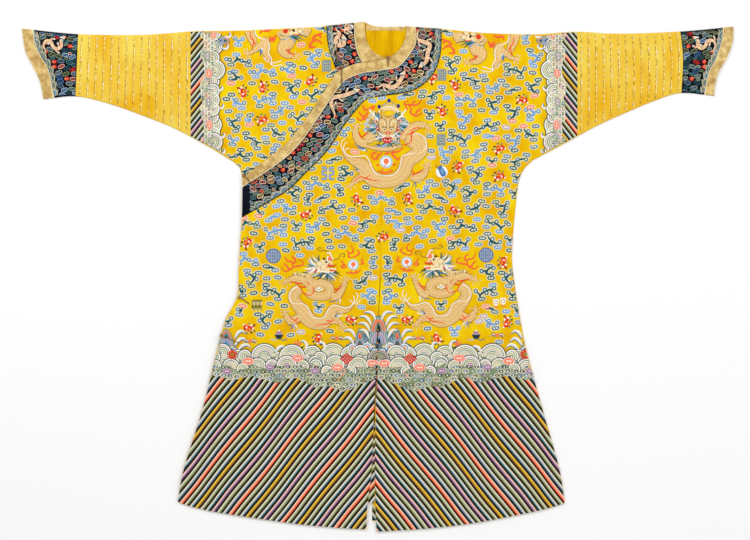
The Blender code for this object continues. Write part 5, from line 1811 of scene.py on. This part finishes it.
class Ground:
    """Which cells of some silk are bare, in half steps of the drawing."""

    CELL = 0.5
    MARGIN = 20

    def __init__(self, rings, covers=(), low=(0, 0), high=(750, 540)):
        rings, covers = [drawn(ring) for ring in rings], [drawn(ring) for ring in covers]
        self.low = np.vstack(rings).min(0) - self.MARGIN
        self.shape = tuple(((np.vstack(rings).max(0) + self.MARGIN - self.low) / self.CELL).astype(int))
        self.xs, self.ys = (least + np.arange(count) * self.CELL for least, count in zip(self.low, self.shape))
        self.silk, self.taken = np.zeros(self.shape, bool), np.zeros(self.shape, bool)
        for ring in rings:
            self.silk |= self.filled(ring)
        for ring in covers:
            self.silk &= ~self.filled(ring)
        first, last = self.cells(np.array([low, high], float)).T
        window = np.zeros(self.shape, bool)
        window[first[0]:last[0], first[1]:last[1]] = True
        self.silk &= window

    def filled(self, ring):
        """Which cells lie inside a ring."""
        cells = np.zeros(self.shape, bool)
        a, b = ring, np.roll(ring, -1, 0)
        for row, y in enumerate(self.ys):
            crossed = (a[:, 1] > y) != (b[:, 1] > y)
            start, end = a[crossed], b[crossed]
            hits = np.sort(start[:, 0] + (y - start[:, 1]) * (end - start)[:, 0] / (end - start)[:, 1])
            for first, last in zip(hits[::2], hits[1::2]):
                cells[(self.xs > first) & (self.xs < last), row] = True
        return cells

    def cells(self, points):
        """The cells that some points of the drawing lie in."""
        index = np.round((points - self.low) / self.CELL).astype(int)
        return np.clip(index, 0, np.array(self.shape) - 1).T

    def take(self, points, reach):
        """Marks the cells near some points of the drawing."""
        i, j = np.unique(self.cells(points), axis=1)
        span = int(reach / self.CELL)
        for di in range(-span, span + 1):
            for dj in range(-span, span + 1):
                if di * di + dj * dj <= span * span:
                    self.taken[np.clip(i + di, 0, self.shape[0] - 1),
                               np.clip(j + dj, 0, self.shape[1] - 1)] = True

    def take_work(self, work, reach, start=0):
        """Marks the cells near the shapes of some work, from one of them on."""
        self.take(drawn(np.vstack(work.points[start:])), reach)

    def fits(self, points):
        """Whether a motif with some points lies on bare cells alone."""
        i, j = self.cells(points)
        return not self.taken[i, j].any()

    def core(self, inset):
        """The silk that is some steps inside its edges."""
        core = self.silk.copy()
        for _ in range(int(inset / self.CELL)):
            core[1:-1, 1:-1] &= core[:-2, 1:-1] & core[2:, 1:-1] & core[1:-1, :-2] & core[1:-1, 2:]
        return core

    def places(self, points, core):
        """The cells where a motif with some points fits."""
        steps = np.unique(np.round(points / self.CELL).astype(int), axis=0)
        edge = int(np.abs(steps).max()) + 1
        room = core & ~self.taken
        room[:edge], room[-edge:], room[:, :edge], room[:, -edge:] = False, False, False, False
        i, j = np.nonzero(room)
        for di, dj in steps:
            clear = ~self.taken[i + di, j + dj]
            i, j = i[clear], j[clear]
        return i, j


def seam_x(y):
    """Where the centre seam and the vent below it cross a line of the drawing."""
    return float(np.interp(y, (95, 200, 270, 363), (381.6, 381.2, 380.5, 376.4)))


PATCH = 16  # cells on a side of the patches that keep the clouds from lying in rows


def pack_clouds(work, rng, ground, left, kinds, inset, flowers, mirrored, gap):
    """Clouds set one by one, each as high up as it fits, and with its like across the centre seam."""
    xs, ys = ground.xs, ground.ys
    core = ground.core(inset) & (xs > left)[:, None]
    wide, tall = ground.shape
    rough = np.random.default_rng(len(kinds)).random((wide // PATCH + 1, tall // PATCH + 1)) * 9
    rough = np.kron(rough, np.ones((PATCH, PATCH)))[:wide, :tall]
    score = ys[None] + 0.12 * xs[:, None] + rough
    missed = 0
    while missed < 3 * len(kinds):
        kind, mirror, tilt = rng.choice(kinds), rng.random() < 0.5, rng.choice((-0.15, 0.0, 0.15))
        flower = rng.random() < flowers
        i, j = ground.places(footprint(kind, tilt, mirror), core)
        if len(i) == 0:
            missed += 1
            continue
        best = np.argmin(score[i, j])
        x, y = xs[i[best]], ys[j[best]]
        for across in (False, True) if mirrored else (False,):
            px = 2 * seam_x(y) - x if across else x
            turn, flipped = (-tilt if across else tilt), mirror != across
            if across and not ground.fits(footprint(kind, turn, flipped) + (px, y)):
                continue
            start = len(work.points)
            if flower:
                blossom(work, px, y, rng)
            else:
                cloud(work, rng, px, y, kind, turn, flipped)
            ground.take_work(work, gap, start)


# What the vent shows of the under front and, below its hem, of the back.
VENT_UNDER = [(-26, -610), (-7.6, -610), (-7.8, -549), (-6.9, -441), (-6.6, -400), (-9.8, -400), (-15.2, -522)]
VENT_BACK = [(-14.4, -658), (-4.6, -657.6), (-6.4, -613.4), (-14.0, -613.4)]


SLOPE = math.radians(51.5)  # the stripes' slope on the wearer's right, and its mirror image on the left
SLOPES = {1: SLOPE, -1: math.pi - SLOPE}
STRIPE_PITCH, SLEEVE_STRIPE_PITCH = 13.6, 11.6
STRIPES_TOP = -250.0
LIFT, WAVES_LIFT, VENT_LIFT = 0.2, 0.9, 0.15  # heights of the embroidery over the cloth


def build_stripes():
    """The striped hem, the striped strips of the sleeves, the stripes that the vent shows, and painted shade in
    the narrow top of the vent.
    """
    for name, side, start in (("front_right_outer", 1, 83.6), ("front_left", -1, 97.6)):
        work = Work()
        stripes(work, RINGS[name], SLOPES[side], STRIPE_PITCH, start, side, STRIPES_TOP)
        work.lay(f"stripes_{name}", OUTER, LIFT)
    for side, low, high, turned, start in (("right", -504, -466, 1, -290.0), ("left", 497, 539, -1, -250.0)):
        work = Work()
        ring = sleeve_ring(side, low, high, 1.5)
        stripes(work, ring, SLOPES[turned], SLEEVE_STRIPE_PITCH, start, turned, sway=0.0)
        work.lay(f"stripes_sleeve_{side}", FIELDS[side], LIFT)
    for name, field, ring, side, start in (
        ("under", INNER, VENT_UNDER, 1, 90.0), ("back", level(BACK_TOP), VENT_BACK, -1, 93.0),
    ):
        work = Work()
        stripes(work, np.array(ring), SLOPES[side], STRIPE_PITCH, start, side, sway=0.0)
        if name == "under":
            # a black line that widens down the narrow top of the vent: painted shade in the slit between the
            # fronts, drawn where the under front's stripes would show
            edge = [(-4.1, -245), (-5.5, -300), (-7.6, -360), (-9.0, -400)]
            work.line(edge, [0.6, 1.2, 1.8, 2.6], "soot", 0.2)
        work.lay(f"stripes_vent_{name}", field, VENT_LIFT)


def sleeve_waves(work, rng, side):
    """The band of waves round a sleeve: its own x runs down the robe, and its y away from the body."""
    if side == "right":
        work.on(203, 20, turn=-math.pi / 2)
    else:
        work.on(563, 20, turn=math.pi / 2, mirror=True)
    xs = np.arange(8, 146, 2.0)
    edge = lambda x: 0.5 + 1.6 * math.sin(x / 4.6) + 1.4 * math.sin(x / 11.0 + 1)
    wave_ground(work, xs, -14, -7, "foam_cream", 0.2)
    wave_ground(work, xs, -11, [edge(x) for x in xs], "foam_cream", 0.22)
    for row, y in enumerate(np.arange(-9.5, 3, 3.2)):
        for x in np.arange(8 + (2.6 if row % 2 else 0), 146, 5.2):
            px, py = x + rng.uniform(-0.4, 0.4), y + rng.uniform(-0.3, 0.3)
            if py < edge(px) - 0.4:
                small_wave(work, px, py, rng, 0.82, pale=True)
    for x, y, radius in (
        (14, -13, 5), (27, -14, 5.5), (38, -12.5, 4.5), (50, -14.5, 7.2), (61, -10.5, 6), (71, -12, 5),
        (80, -11, 5.8), (89, -12, 5), (97, -11.5, 4.6), (105, -12, 6.6), (114, -12.5, 5), (122, -13, 6.4),
        (132, -13, 5.5), (142, -13, 5),
    ):
        foam(work, x, y + 2.2, radius * 1.3, -90 + rng.uniform(-14, 14), base=0.45 + 0.22 * (int(x) % 3))
    for k, (x, y) in enumerate(
        ((14.3, -10.5), (36.4, -4.8), (53.6, -6.2), (82.3, -5.7), (105.3, -6.7), (126, -6.5))
    ):
        rosette(work, x, y, ("coral", "lilac")[k % 2], ("pink", "mist")[k % 2], 0.95, 1.6)
    mountain(work, 21, -27, -14, 5.0)
    for x, y in ((15, -25), (26.5, -22.5), (68, -17), (86, -18), (115, -19), (131, -19)):
        spray(work, [(x + 1.5, y + 3.5), (x + 2.6, y - 0.5), (x + 0.5, y - 3), (x - 2.5, y - 2)], 1.4)


SHOULDER_FINE = 1 / 14.93  # the same for the dragons of the shoulders


def shoulder_dragon(work):
    """The lower half of the dragon that folds over a shoulder."""
    body(work, [(120, 100), (150, 200), (190, 300), (215, 385)], [110, 120, 110, 70], fold=0.8)
    body(work, [(330, 280), (390, 340), (392, 430), (385, 500), (420, 580), (450, 640)],
         [80, 100, 95, 80, 50, 15])
    body(work, [(340, 340), (270, 420), (180, 480), (120, 500)], [60, 75, 55, 36], low=0.3, fold=0.7)
    claw(work, 110, 500, [(62, 440), (60, 505), (90, 570), (150, 560), (110, 430)])
    body(work, [(600, 150), (700, 240), (700, 350), (640, 430), (690, 510), (800, 540)],
         [150, 190, 200, 150, 110, 60])
    body(work, [(1000, 100), (990, 180), (950, 240)], [130, 110, 60], fold=0.8)
    claw(work, 850, 545, [(830, 470), (900, 500), (935, 555), (880, 600), (810, 600)])
    ridge(work, [(225, 120), (240, 230), (320, 280), (400, 320), (440, 400), (430, 500), (470, 590),
                 (470, 680)])
    for path in ([(450, 640), (400, 620), (350, 560)], [(455, 660), (520, 690), (640, 665)],
                 [(455, 650), (530, 640), (620, 610)]):
        ridge(work, path, 13, 0.4)
    tuft(work, 300, 420, [(260, 480), (300, 540), (350, 500), (345, 440)], width=24)
    tuft(work, 730, 250, [(580, 200), (590, 300), (650, 310), (760, 330), (830, 340), (900, 330), (950, 300),
                          (980, 210), (1010, 260)], ("teal", "sea", "pale_blue", "olive", "sky"), 26, 0.9)
    work.patch([(680, 60), (740, 40), (900, 40), (960, 120), (930, 220), (820, 240), (720, 200)],
               "couched_light", 0.9, 1.0)
    for x, y, r in ((760, 110, 44), (860, 100, 44), (900, 170, 38)):
        work.disc(x, y, r, "dragon_skin", 0.4, 1.6)
        work.ring(x, y, r, 8, "couched_dark", 0.2, 1.75)
    work.disc(680, 165, 38, "red", 0.5, 1.8)
    work.disc(805, 160, 22, "ink", 0.4, 2.1, sides=8)
    work.disc(822, 150, 9, "white", 0.3, 2.5, sides=6)
    fire(work, [(150, 170), (165, 260), (205, 320), (180, 440)], [(205, 330), (235, 370)],
         [(690, 440), (730, 490), (820, 525)],
         [(725, 485), (740, 430)], [(780, 210), (840, 225), (900, 210)])
    flame(work, [[(300, 210), (320, 160), (400, 165), (460, 150)],
                 [(440, 240), (460, 300), (500, 310), (535, 230)], [(470, 300), (490, 250)],
                 [(1230, 200), (1180, 215), (1110, 250), (1100, 300), (1170, 310), (1220, 360)],
                 [(1120, 300), (1060, 350), (1050, 410), (1130, 405)],
                 [(1180, 215), (1210, 270)]], 24)


SCALLOP_SHADES = (
    ("scallop", "sea", "stripe_sage", "slate"), ("scallop", "pale_blue", "slate", "mist"),
    ("scallop", "sage", "slate_light", "sea"),
)
SCALLOP_PITCH = 1.25


def scallops(work, rng, path, ring, pitch, radius):
    """Nested scallops of pale cord along an edge, opening into the ring, each lapped over by the next."""
    path = curve(drawn(np.array(path)), pitch)
    for number, (a, b) in enumerate(zip(path, path[1:])):
        middle, run = (a + b) / 2, (b - a) / np.linalg.norm(b - a)
        inward = np.array([run[1], -run[0]])
        if not inside(millimetres(*(middle + inward * 3))[None], ring)[0]:
            inward = -inward
        turn = math.degrees(math.atan2(inward[1], inward[0]))
        x, y = middle
        low = 0.1 + 0.3 * (number % 2)
        rim = ellipse(x, y, radius, np.radians(np.linspace(turn - 95, turn + 95, 11)))
        work.add(np.vstack([rim, [(x, y)]]), [low] * 12, [[11, k + 1, k] for k in range(10)], "night")
        cool = rng.choice(SCALLOP_SHADES)
        for k in range(int(radius / SCALLOP_PITCH)):
            work.arc(x, y, radius - 0.5 - SCALLOP_PITCH * k, turn - 92, turn + 92, 0.75 if k % 4 else 0.95,
                     cool[k % 4], 0.12, low + 0.04, count=11)
        crest = middle + inward * (radius + 0.4) + run * radius * 0.5
        work.line(curve([middle + inward * radius, crest, crest + run * 1.4 - inward * 1.5], 1.0),
                  [0.9, 0.8, 0.3], "mist", 0.2, low + 0.2)


def floret(work, x, y):
    """A small red flower."""
    for k, thread in enumerate(("crimson", "red", "crimson", "crimson", "coral")):
        turn = k * 1.257 + x
        work.disc(x + 1.5 * math.cos(turn), y + 1.15 * math.sin(turn), 1.15, thread, 0.4, 0.1, sides=7)
    work.ring(x, y, 1.0, 0.6, "coral", 0.4, 0.45, sides=8)


def dark_border(rng, ring, edge, dragons, flowers, pitch=8.4, radius=6.2, width=3.4, tones="bright"):
    """A dark border's motifs: a scalloped edge of waves, little dragons, flowers and clouds."""
    work = Work().on(0, 0)
    scallops(work, rng, edge, ring, pitch, radius)
    for points in dragons:
        small_dragon(work, points, width)
    for x, y in flowers:
        floret(work, x, y)
    ground = Ground([ring])
    ground.take_work(work, 0.5)
    for size in (3.5, 2.9, 2.3, 1.8):
        fill_curls(work, rng, ground, size, tones)
    return work


DARK_TONES = {
    "bright": (("slate_light", "slate"), ("mist", "sea"), ("peach", "bronze"), ("stripe_sage", "sage"),
               ("sea", "teal"), ("mist", "crimson"), ("stripe_pink", "crimson"), ("pale_blue", "blue"),
               ("couched_light", "bronze"), ("slate_light", "red")),
    "dim": (("mist", "blue"), ("sea", "teal"), ("slate", "night"), ("sage", "night_olive"),
            ("pale_blue", "blue"), ("mist", "slate"), ("teal", "night"), ("blue", "teal")),
}


RED_TONES = (("crimson", "red"), ("coral", "crimson"), ("pink", "crimson"))
RED_CLOUDS = 0.08  # the share of the small clouds that are red


def rotation(turn):
    """The matrix that turns rows of points."""
    return np.array([[math.cos(turn), math.sin(turn)], [-math.sin(turn), math.cos(turn)]])


def dark_cloud(work, rng, x, y, size, turn, tones):
    """A small cloud in thin outlines on the dark silk, with a curl and two bright eyes."""
    light, cool = rng.choice(DARK_TONES[tones])
    if rng.random() < RED_CLOUDS:
        light, cool = rng.choice(RED_TONES)
    matrix = rotation(turn)
    oval = peanut(0, 0, size * 0.92, size * 0.57, 14) @ matrix + (x, y)
    work.line(oval, 0.5 + 0.03 * size, light, 0.2, 0.1, closed=True)
    for side in (-1, 1):
        eye = np.array([side * size * 0.32, 0.0]) @ matrix + (x, y)
        if size > 2.0:
            start = 90 - side * 90 - math.degrees(turn)
            end = 330 - side * 90 - math.degrees(turn)
            work.arc(*eye, size * 0.3, start, end, 0.5, cool, 0.12, 0.1, count=8)
        work.disc(*eye, 0.11 * size, "scallop" if tones == "bright" else light, 0.15, 0.14, sides=5)


def fill_curls(work, rng, ground, size, tones):
    """Small clouds of one size, set close on what is left of a dark ground."""
    core = ground.core(min(size * 0.6, 1.5))
    xs, ys = ground.xs, ground.ys
    rough = np.random.default_rng(int(size * 10)).random(ground.shape) * size * 2
    missed = 0
    while missed < 4:
        turn = rng.uniform(-0.5, 0.5)
        points = np.vstack([peanut(0, 0, size * share, size * 0.62 * share, 12) for share in (1.0, 0.5)])
        points = points @ rotation(turn)
        i, j = ground.places(points, core)
        if len(i) == 0:
            missed += 1
            continue
        best = np.argmin(ys[j] + 0.3 * xs[i] + rough[i, j])
        place = np.array([xs[i[best]], ys[j[best]]])
        dark_cloud(work, rng, *place, size, turn, tones)
        ground.take(points + place, 0.75)


COLLAR_EDGE = [(173, 668.5), (171, 607), (156, 556), (122, 517), (79, 497), (5, 486), (-29, 478), (-55, 452),
               (-89, 409), (-128, 349), (-158, 314), (-193, 280), (-236, 237), (-283, 207), (-352, 168)]
UNDER_COLLAR_EDGE = [(-131, 575), (-134, 620), (-139, 677)]
COLLAR_DRAGONS = [
    [(335, 115.6), (331, 104), (332.7, 98), (343.4, 95.7), (350, 93.4), (357, 90.7)],
    [(304.4, 121), (310, 112.8), (320.3, 112.8), (319, 106.4), (320.4, 102)],
    [(378.6, 87.3), (383, 84.8), (390, 87), (396, 85.8), (400.5, 79.7), (403.6, 73.6)],
    [(417.8, 31.7), (417.6, 39), (424, 42), (430, 45.2), (428, 53), (426.3, 61.8), (421, 66)],
]
COLLAR_FLOWERS = [(301.2, 133.2), (310.2, 135.4), (290.4, 141.8), (293.3, 152.9), (276.4, 156.8),
                  (274.4, 164.4), (252.5, 177.2), (364.8, 78.5), (410.7, 62.1), (413.8, 71.3), (406, 76.6),
                  (391.6, 71.5), (431, 33.8), (328, 117), (283, 170)]
UNDER_COLLAR_DRAGONS = [
    [(336.5, 30), (340.3, 34), (336, 40), (338, 45.2), (343.6, 44.5), (343.4, 37.8)],
    [(343.4, 30), (350, 28), (353, 27)],
]
UNDER_COLLAR_FLOWERS = [(354.6, 54.2), (349.6, 42.2), (352, 61.5)]
CUFF_DRAGONS = [[(46, 51), (43.5, 46), (46, 41), (51, 41.5), (53.5, 46.5), (57.5, 49), (61.5, 46), (61, 41),
                 (64, 38)]]
CUFF_FLOWERS = [(54.7, 62), (54.7, 67), (70.4, 46.4), (67.2, 79)]


CUFFS_MIRROR = 758.5  # the left cuff's motifs are the right one's, mirrored from here
CUFF_EXTENT = {"left": (815, 936), "right": (-932, -806)}
RIBBED_EXTENT = {"left": (540, 822), "right": (-812, -503)}
BORDER_LIFT = TRIM_TOP + 0.12


def build_dark_trims():
    """The motifs on the dark borders and on the cuffs."""
    rng = random.Random(23)
    outer, inner = RINGS["lapel_border"], RINGS["neck_border_inner"]
    work = dark_border(rng, outer, COLLAR_EDGE, COLLAR_DRAGONS, COLLAR_FLOWERS)
    plain = lambda p: inside(p, outer) & ~((p[:, 0] < -345) & (p[:, 1] < 245))
    work.lay("border_motifs_outer", OUTER, BORDER_LIFT, plain)
    work = dark_border(rng, inner, UNDER_COLLAR_EDGE, UNDER_COLLAR_DRAGONS, UNDER_COLLAR_FLOWERS)
    seen = lambda p: within(p, [inner], [outer, RINGS["lapel_band"]])
    work.lay("border_motifs_inner", INNER, BORDER_LIFT, seen)
    for side in ("right", "left"):
        ring = np.vstack([curve(CUFF_SEAM[side]), curve(CUFF_BAND[side])[::-1]])
        place = lambda points: [(CUFFS_MIRROR - x if side == "left" else x, y) for x, y in points]
        dragons = [place(points) for points in CUFF_DRAGONS]
        work = dark_border(rng, ring, CUFF_BAND[side], dragons, place(CUFF_FLOWERS), 7.0, 5.2, 2.7, "dim")
        outline = sleeve_ring(side, *CUFF_EXTENT[side])
        keep = lambda p: inside(p, ring) & inside(p, outline)
        work.lay(f"cuff_motifs_{side}", FIELDS[side], 0.15, keep)


# The threads woven beside each rib: how far from its middle, and which.
RIB_THREADS = (
    (-1.1, ("bronze", "couched_dark", "rib_brown", "bronze")),
    (1.2, ("white", "rib_cream", "couched_light", "rib_brown", "couched_mid")),
)


def build_ribs():
    """The broken gold, brown and white lines woven along the ribs of the sleeves."""
    rng = random.Random(5)
    for side in SIDES:
        work = Work()
        end = across_line(CUFF_SEAM[side])
        lower, upper = SLEEVE_EDGES[side]
        for k in range(RIB_COUNT[side]):
            share = (k + 0.5) / RIB_COUNT[side]
            for offset, threads in RIB_THREADS:
                v = rng.uniform(0.02, 0.05)
                while v < 0.96:
                    stretch = rng.uniform(0.01, 0.055)
                    vs = np.linspace(v, min(0.97, v + stretch), 4)
                    xs = RIBBED_SEAM[side] + (end(vs) - RIBBED_SEAM[side]) * share + offset
                    low, high = np.interp(xs, *lower), np.interp(xs, *upper)
                    path = np.column_stack([xs, low + (high - low) * vs])
                    work.line(path, rng.uniform(1.3, 2.4), rng.choice(threads), 0.3)
                    v += stretch + rng.uniform(0.008, 0.04)
        keep = lambda p: inside(p, sleeve_ring(side, *RIBBED_EXTENT[side], 5.0))
        work.lay(f"rib_lines_{side}", FIELDS[side], RIB_HEIGHT * 0.75, keep)


SIGNS = [  # the small signs and their places
    (disc_sign, 273.6, 256), (disc_sign, 486, 255), (tablet_sign, 441.7, 75), (tablet_sign, 441, 140),
    (key_sign, 328, 173.5), (axe_sign, 441.7, 171.5), (lattice_sign, 257, 305), (cup_sign, 499, 302),
    (umbrella_sign, 279, 336), (lotus_sign, 298, 344), (ribbon_sign, 337, 338), (umbrella_sign, 476, 336),
    (lotus_sign, 457, 344), (ribbon_sign, 418, 338), (ribbon_sign, 250, 341), (ribbon_sign, 497, 335),
]
BLOSSOMS = [
    (357, 200), (408, 199), (455, 211), (306, 215), (458, 167), (442, 111), (247, 243), (383, 237), (455, 85),
    (351, 320), (407, 320), (318, 339), (437, 339), (522, 100), (499, 149), (249, 328), (507, 322),
]
UNDER_BLOSSOMS = [(311, 81), (243, 92), (262, 120)]


def fill_ground(work, rng, ground, left, mirrored):
    """Large clouds first, then smaller ones, and single heads in the gaps."""
    for kinds, inset, flowers, gap in ((LARGE, 5.0, 0.03, 1.8), (SMALL, 2.5, 0.02, 1.6),
                                       (SINGLE, 1.5, 0.0, 1.4)):
        pack_clouds(work, rng, ground, left, kinds, inset, flowers, mirrored, gap)


def vent_edging(work):
    """A dark cord with gold and coral stitches down the centre seam over the waves, and on down the vent."""
    work.on(0, 0)
    for k, y in enumerate(np.arange(322, 392, 2.2)):
        x = seam_x(y)
        work.line([(x, y), (x, y + 2.3)], 1.3, "soot" if k % 3 else "bronze", 0.2, 2.7)
        if k % 4 == 1:
            work.line([(x + 0.3, y), (x + 0.3, y + 1.4)], 0.8, "coral", 0.2, 2.9)


def build_front():
    """The dragons, clouds, waves and signs on the silk."""
    rng = random.Random(7)
    fronts = [RINGS["front_left"], RINGS["front_right_outer"]]
    left_sleeve = sleeve_ring("left", SHOULDER_SEAM["left"], RIBBED_SEAM["left"] - 3)
    right_sleeve = sleeve_ring("right", RIBBED_SEAM["right"] + 3, SHOULDER_SEAM["right"])
    trims = [RINGS["lapel_border"], RINGS["lapel_band"]]
    under_trims = trims + [RINGS["neck_border_inner"], RINGS["neck_band_inner"], RINGS["front_right_outer"]]
    outer_keep = lambda p: within(p, fronts + [left_sleeve], trims)
    inner_keep = lambda p: within(p, [RINGS["front_right_inner"], right_sleeve], under_trims)
    waves = Work()
    wave_band(waves, rng)
    wave_band(waves, rng, True)
    vent_edging(waves)
    bands = {side: Work() for side in SIDES}
    for side in SIDES:
        sleeve_waves(bands[side], rng, side)
    dragons = Work().on(338, 95, FINE)
    front_dragon(dragons)
    dragons.on(272, 245, FINE)
    side_dragon(dragons)
    dragons.on(488, 242.5, FINE, mirror=True)
    side_dragon(dragons)
    dragons.on(524, 26, SHOULDER_FINE, mirror=True)
    shoulder_dragon(dragons)
    shoulder = Work().on(240, 20, SHOULDER_FINE)
    shoulder_dragon(shoulder)
    signs = Work()
    for sign, x, y in SIGNS:
        sign(signs, x, y)
    for x, y in BLOSSOMS:
        blossom(signs, x, y, rng)
    ground = Ground(fronts + [left_sleeve], trims, high=(560, 352))
    for work, reach in ((waves, 1.0), (bands["left"], 1.5), (dragons, 1.2), (signs, 1.5)):
        ground.take_work(work, reach)
    # the centre seam shows below the chest, and no cloud of a pair lies on it
    signs.on(0, 0)
    signs.line([(seam_x(y), y) for y in np.arange(272, 320, 3.0)], 0.6, "stripe_brown", 0.15, 0.05)
    ground.take(np.array([(seam_x(y), y) for y in np.arange(205, 321, 0.5)]), 1.0)
    fill_ground(signs, rng, ground, 379, True)
    fill_ground(signs, rng, ground, 220, False)
    under = Work()
    tablet_sign(under, 326.5, 66)
    for x, y in UNDER_BLOSSOMS:
        blossom(under, x, y, rng)
    ground = Ground([RINGS["front_right_inner"], right_sleeve], under_trims, low=(206, 0), high=(750, 352))
    for work, reach in ((bands["right"], 1.5), (shoulder, 1.2), (under, 1.5)):
        ground.take_work(work, reach)
    fill_ground(under, rng, ground, 186, False)
    dragons.lay("dragons_front", OUTER, LIFT, outer_keep)
    shoulder.lay("dragon_shoulder", INNER, LIFT, inner_keep)
    signs.lay("clouds_front", OUTER, LIFT, outer_keep)
    under.lay("clouds_under", INNER, LIFT, inner_keep)
    waves.lay("waves_front", OUTER, WAVES_LIFT, lambda p: within(p, fronts))
    for side, ring in (("left", left_sleeve), ("right", right_sleeve)):
        keep = lambda p: inside(p, ring)
        bands[side].lay(f"waves_sleeve_{side}", FIELDS[side], WAVES_LIFT, keep)


build_dark_trims()
build_ribs()
build_stripes()
build_front()

# ---------------------------------------------------------------- the cut of the cloth


def polygon_size(ring):
    """The area inside a ring and the length round it, in millimetres."""
    following = np.roll(ring, -1, 0)
    area = abs((ring[:, 0] * following[:, 1] - ring[:, 1] * following[:, 0]).sum()) / 2
    return area, np.linalg.norm(following - ring, axis=1).sum()


def cut_of_panel(node):
    """Width, length and area of a panel's cut: the box round it."""
    return (*np.ptp(RINGS[node], axis=0), polygon_size(RINGS[node])[0])


def cut_of_strip(node):
    """Width, length and area of a curved band that was cut as a straight strip."""
    area, around = polygon_size(RINGS[node])
    length = around / 4 + math.sqrt(around**2 / 16 - area)
    return area / length, length, area


# Each piece of cloth: how it was cut, what it lies on and what is sewn on it.
LAID = [
    ("back_left", cut_of_panel, ["floor"], ["stripes_vent_back"]), ("back_right", cut_of_panel, ["floor"], []),
    ("back_lining", cut_of_panel, ["cloth_back_left", "cloth_back_right"], []),
    ("neck_band_back", cut_of_strip, ["cloth_back_lining"], []),
    ("front_right_inner", cut_of_panel, ["cloth_back_right", "cloth_back_left"],
     ["clouds_under", "dragon_shoulder", "stripes_vent_under"]),
    ("neck_band_inner", cut_of_strip, ["cloth_front_right_inner"], []),
    ("neck_border_inner", cut_of_strip, ["cloth_front_right_inner"],
     ["border_motifs_inner", "cloth_neck_piping_inner"]),
    ("front_right_outer", cut_of_panel, ["cloth_front_right_inner"], ["stripes_front_right_outer"]),
    ("front_left", cut_of_panel, ["cloth_back_left"],
     ["stripes_front_left", "clouds_front", "dragons_front", "waves_front"]),
    ("lapel_band", cut_of_strip, ["cloth_front_right_outer"], []),
    ("lapel_border", cut_of_strip, ["cloth_front_right_outer"], ["border_motifs_outer", "cloth_lapel_piping"]),
]


def declare_cloth():
    """Works out the cut of each piece of cloth."""
    for node, size_of, rests_on, with_pieces in LAID:
        size_of(node)


declare_cloth()

# ---------------------------------------------------------------- stage


FLOOR_SIZE, FLOOR_DROP = 14.0, 0.0004
WORLD_LIGHT = 0.62
LAMPS = (  # name, place, size and power
    ("key", (-2.2, 2.2, 2.8), 1.6, 62.0), ("side", (2.4, 1.6, 2.8), 2.0, 40.0),
    ("fill", (0.6, -2.4, 3.0), 2.5, 18.0),
)


def build_stage():
    """A pale floor, an even white world and three soft lamps that point at the robe."""
    bpy.ops.mesh.primitive_plane_add(size=FLOOR_SIZE, location=(0, 0, -FLOOR_DROP))
    floor = bpy.context.object
    floor.name = "floor"
    material = bpy.data.materials.new("studio_floor")
    material.use_nodes = True
    shader = material.node_tree.nodes["Principled BSDF"]
    shader.inputs["Base Color"].default_value = (0.92, 0.92, 0.92, 1)
    shader.inputs["Roughness"].default_value = 0.9
    floor.data.materials.append(material)
    world = bpy.data.worlds.new("studio")
    bpy.context.scene.world = world
    world.use_nodes = True
    background = world.node_tree.nodes["Background"]
    background.inputs["Color"].default_value = (1, 1, 1, 1)
    background.inputs["Strength"].default_value = WORLD_LIGHT
    for name, place, size, power in LAMPS:
        lamp = bpy.data.lights.new(name, "AREA")
        lamp.size = size
        lamp.energy = power
        obj = bpy.data.objects.new(name, lamp)
        obj.location = place
        obj.rotation_euler = (-Vector(place)).to_track_quat("-Z", "Y").to_euler()
        bpy.context.scene.collection.objects.link(obj)


VIEW_CENTRE = (-6.8, 18.2)  # millimetres
VIEW_WIDTH = 750 * PIXEL * MM  # metres of floor across the picture
LENS = 100.0


def build_camera():
    """The camera, straight above the robe."""
    camera = bpy.data.cameras.new("overhead")
    camera.lens = LENS
    camera.clip_end = 50
    obj = bpy.data.objects.new("overhead", camera)
    obj.location = (VIEW_CENTRE[0] * MM, VIEW_CENTRE[1] * MM, VIEW_WIDTH * LENS / camera.sensor_width)
    bpy.context.scene.collection.objects.link(obj)
    bpy.context.scene.camera = obj


build_stage()
build_camera()
bpy.context.scene.view_settings.view_transform = "Standard"
